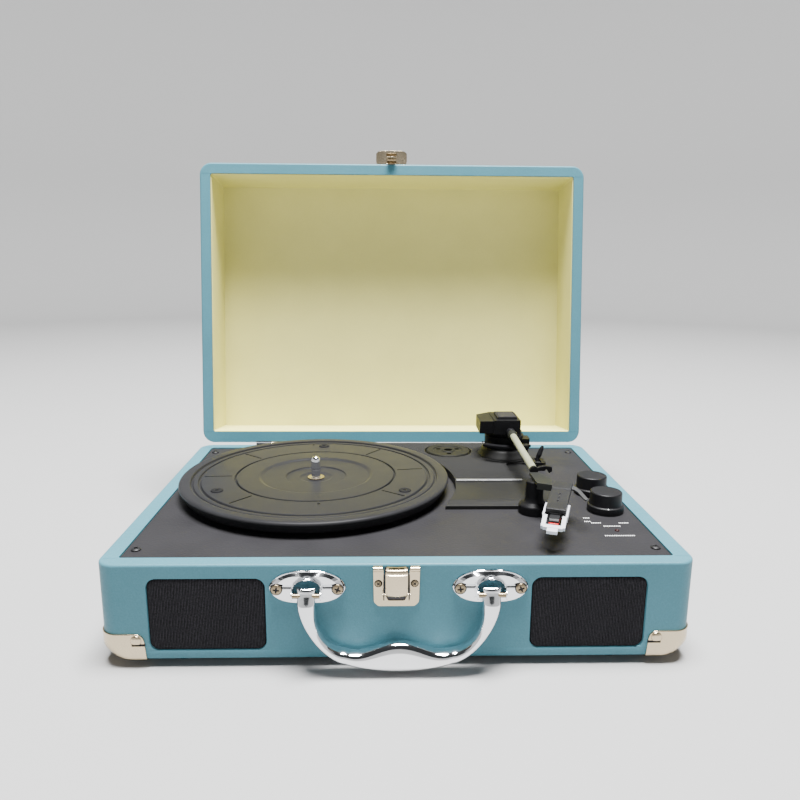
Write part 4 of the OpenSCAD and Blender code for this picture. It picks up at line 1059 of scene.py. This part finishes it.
# the cartridge's nose stands on the stylus's top face
stylus = from_node("stylus")
face = max((f for f in stylus.faces if f.normal.z > 0.5), key=lambda f: f.calc_area())
corners = sorted((v.co.copy() for v in face.verts), key=lambda p: (p - LIFT).length)
(near_a, near_b), (far_a, far_b) = corners[:2], corners[-2:]
if (far_a - near_a).length > (far_b - near_a).length:
    far_a, far_b = far_b, far_a
up = face.normal.copy()
stylus.free()
bm = bmesh.new()
loft(bm, [[near_a.lerp(far_a, back) + up * low, near_b.lerp(far_b, back) + up * low,
           near_b.lerp(far_b, back) + up * high, near_a.lerp(far_a, back) + up * high]
          for back, low, high in ((0.5, 0.02, 2.3), (0.86, 0.02, 2.2), (0.93, 0.02, 1.2))])
build("cartridge_nose", bm, "grey_plastic", "tonearm", edge=0.25)
rounded_node("guard", "stylus_guard", "white_plastic", "stylus_guard", 0.25, shortest=0.3, sharp=35)
post = turned([(0, DECK), (10.5, DECK), (10.5, 64.6), (10.3, 65.2), (9.7, 65.9), (8.4, 66.6), (7.2, 67.3),
               (6.5, 68.4), (6.2, 70), (6.1, 72), (6.1, 81.5), (5.8, 82.1), (5.2, 82.4), (0, 82.4)],
              (REST.x, REST.y, 0), 56)
build("rest_post", post, "gloss_black", "case", replaces=("arm_rest",), sharp=40)

# ---- adapter and knobs ----

rounded_node("adapter_disc", "adapter", "olive_plastic", "adapter", 0.3, 40, sharp=35)
for name, spin in (("knob_rear", "rear_knob_turn"), ("knob_front", "front_knob_turn")):
    pos = pivot(spin)
    low = DECK + 0.3
    top = top_of(name)
    profile = [(0, 48.6), (3, 48.6), *((r, low + up) for r, up in (
        (3, 1), (4.9, 1), (4.9, 0), (12.2, 0), (12.5, 0.3), (12.5, 4.2), (12.3, 4.6), (11.9, 4.8),
        (11.3, 4.9), (11.05, 5.3))), *((r, top - down) for r, down in (
            (10.9, 1.1), (10.75, 0.5), (10.3, 0.12), (9.8, 0.02), (9.5, 0.14), (9.2, 0.16), (0, 0.16)))]
    bm = turned(profile, (pos.x, pos.y, 0), 72)
    build(name + "_body", bm, "knob_plastic", name, replaces=(name,), sharp=50)
    bm = bmesh.new()
    turn = Matrix.Rotation(radians(-98), 2)
    outline = [turn @ Vector((11.7 + u, v)) + pos.xy
               for u, v in ((-0.55, -0.35), (0.82, -0.35), (0.82, 0.35), (-0.55, 0.35))]
    slab(bm, outline, low + 4.5, low + 4.92)
    build(name + "_mark", bm, "printed_white", name)

# ---- CAD nodes that are shown as they are ----

for look, edge, nodes in (
        ("nickel", 0.15, "latch_pin spindle_clip phono_sockets"),
        ("dark_metal", 0.25, "hinge_left hinge_right"),
        ("deck_plastic", 0.4, "deck_plate"), ("deck_plastic", 0.25, "arm_cap"),
        ("brass", 0.2, "spindle_bush"),
        ("black_plastic", 0.15, "deck_screws"), ("black_plastic", 0.3, "rear_panel"), ("rubber", 0.4, "feet"),
        ("gloss_black", 0.3, "arm_yoke cue_base cue_platform"), ("gloss_black", 0, "cue_lever"),
        ("grey_plastic", 0.15, "headphone_socket power_inlet"), ("lamp", 0, "led"),
        ("steel", 0, "speaker_left speaker_right motor pot_rear pot_front"), ("brass", 0, "motor_pulley"),
        ("rubber", 0, "drive_belt"), ("board", 0, "circuit_board")):
    for node in nodes.split():
        finish_node(node, look, edge)

# ---- studio ----

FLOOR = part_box("feet")[0].z
bm = bmesh.new()
radius, wall, curve = 2.6, 1.42, 0.5
profile = [(0, FLOOR), (radius - curve, FLOOR)]
profile += [(radius - curve + curve * sin(a), FLOOR + curve * (1 - cos(a)))
            for a in (pi / 2 * k / 10 for k in range(1, 11))] + [(radius, wall)]
rings = [[(r * cos(b), r * sin(b), z) for b in (2 * pi * k / 96 for k in range(96))]
         for r, z in profile[1:]]
made = loft(bm, rings, caps=False)
bm.faces.new(made[0])
bmesh.ops.recalc_face_normals(bm, faces=bm.faces)
mesh = mesh_of(bm, "studio_floor")
mesh.shade_smooth()
studio = shown("studio_floor", mesh)
mesh.materials.append(LOOKS["studio"].material)


def area_light(name, place, size, power):
    """A soft light that looks at the player."""
    light = bpy.data.lights.new(name, "AREA")
    light.shape = "RECTANGLE"
    light.size, light.size_y = size
    light.energy = power
    obj = shown(name, light)
    obj.location = place
    obj.rotation_euler = (Vector((0, 0, 0.1)) - Vector(place)).to_track_quat("-Z", "Y").to_euler()


area_light("key", (0.1, -0.2, 2.3), (1.1, 0.8), 330)
area_light("fill_left", (-2.0, -1.4, 1.5), (1.0, 1.0), 1)
area_light("fill_right", (2.0, -1.2, 1.5), (1.0, 1.0), 1)
area_light("back", (0.1, 2.0, 2.0), (1.4, 0.7), 5)
world = bpy.data.worlds.new("studio")
bpy.context.scene.world = world
world.use_nodes = True
sky = world.node_tree.nodes["Background"].inputs
sky["Color"].default_value = (0.9, 0.95, 1, 1)
sky["Strength"].default_value = 0.05
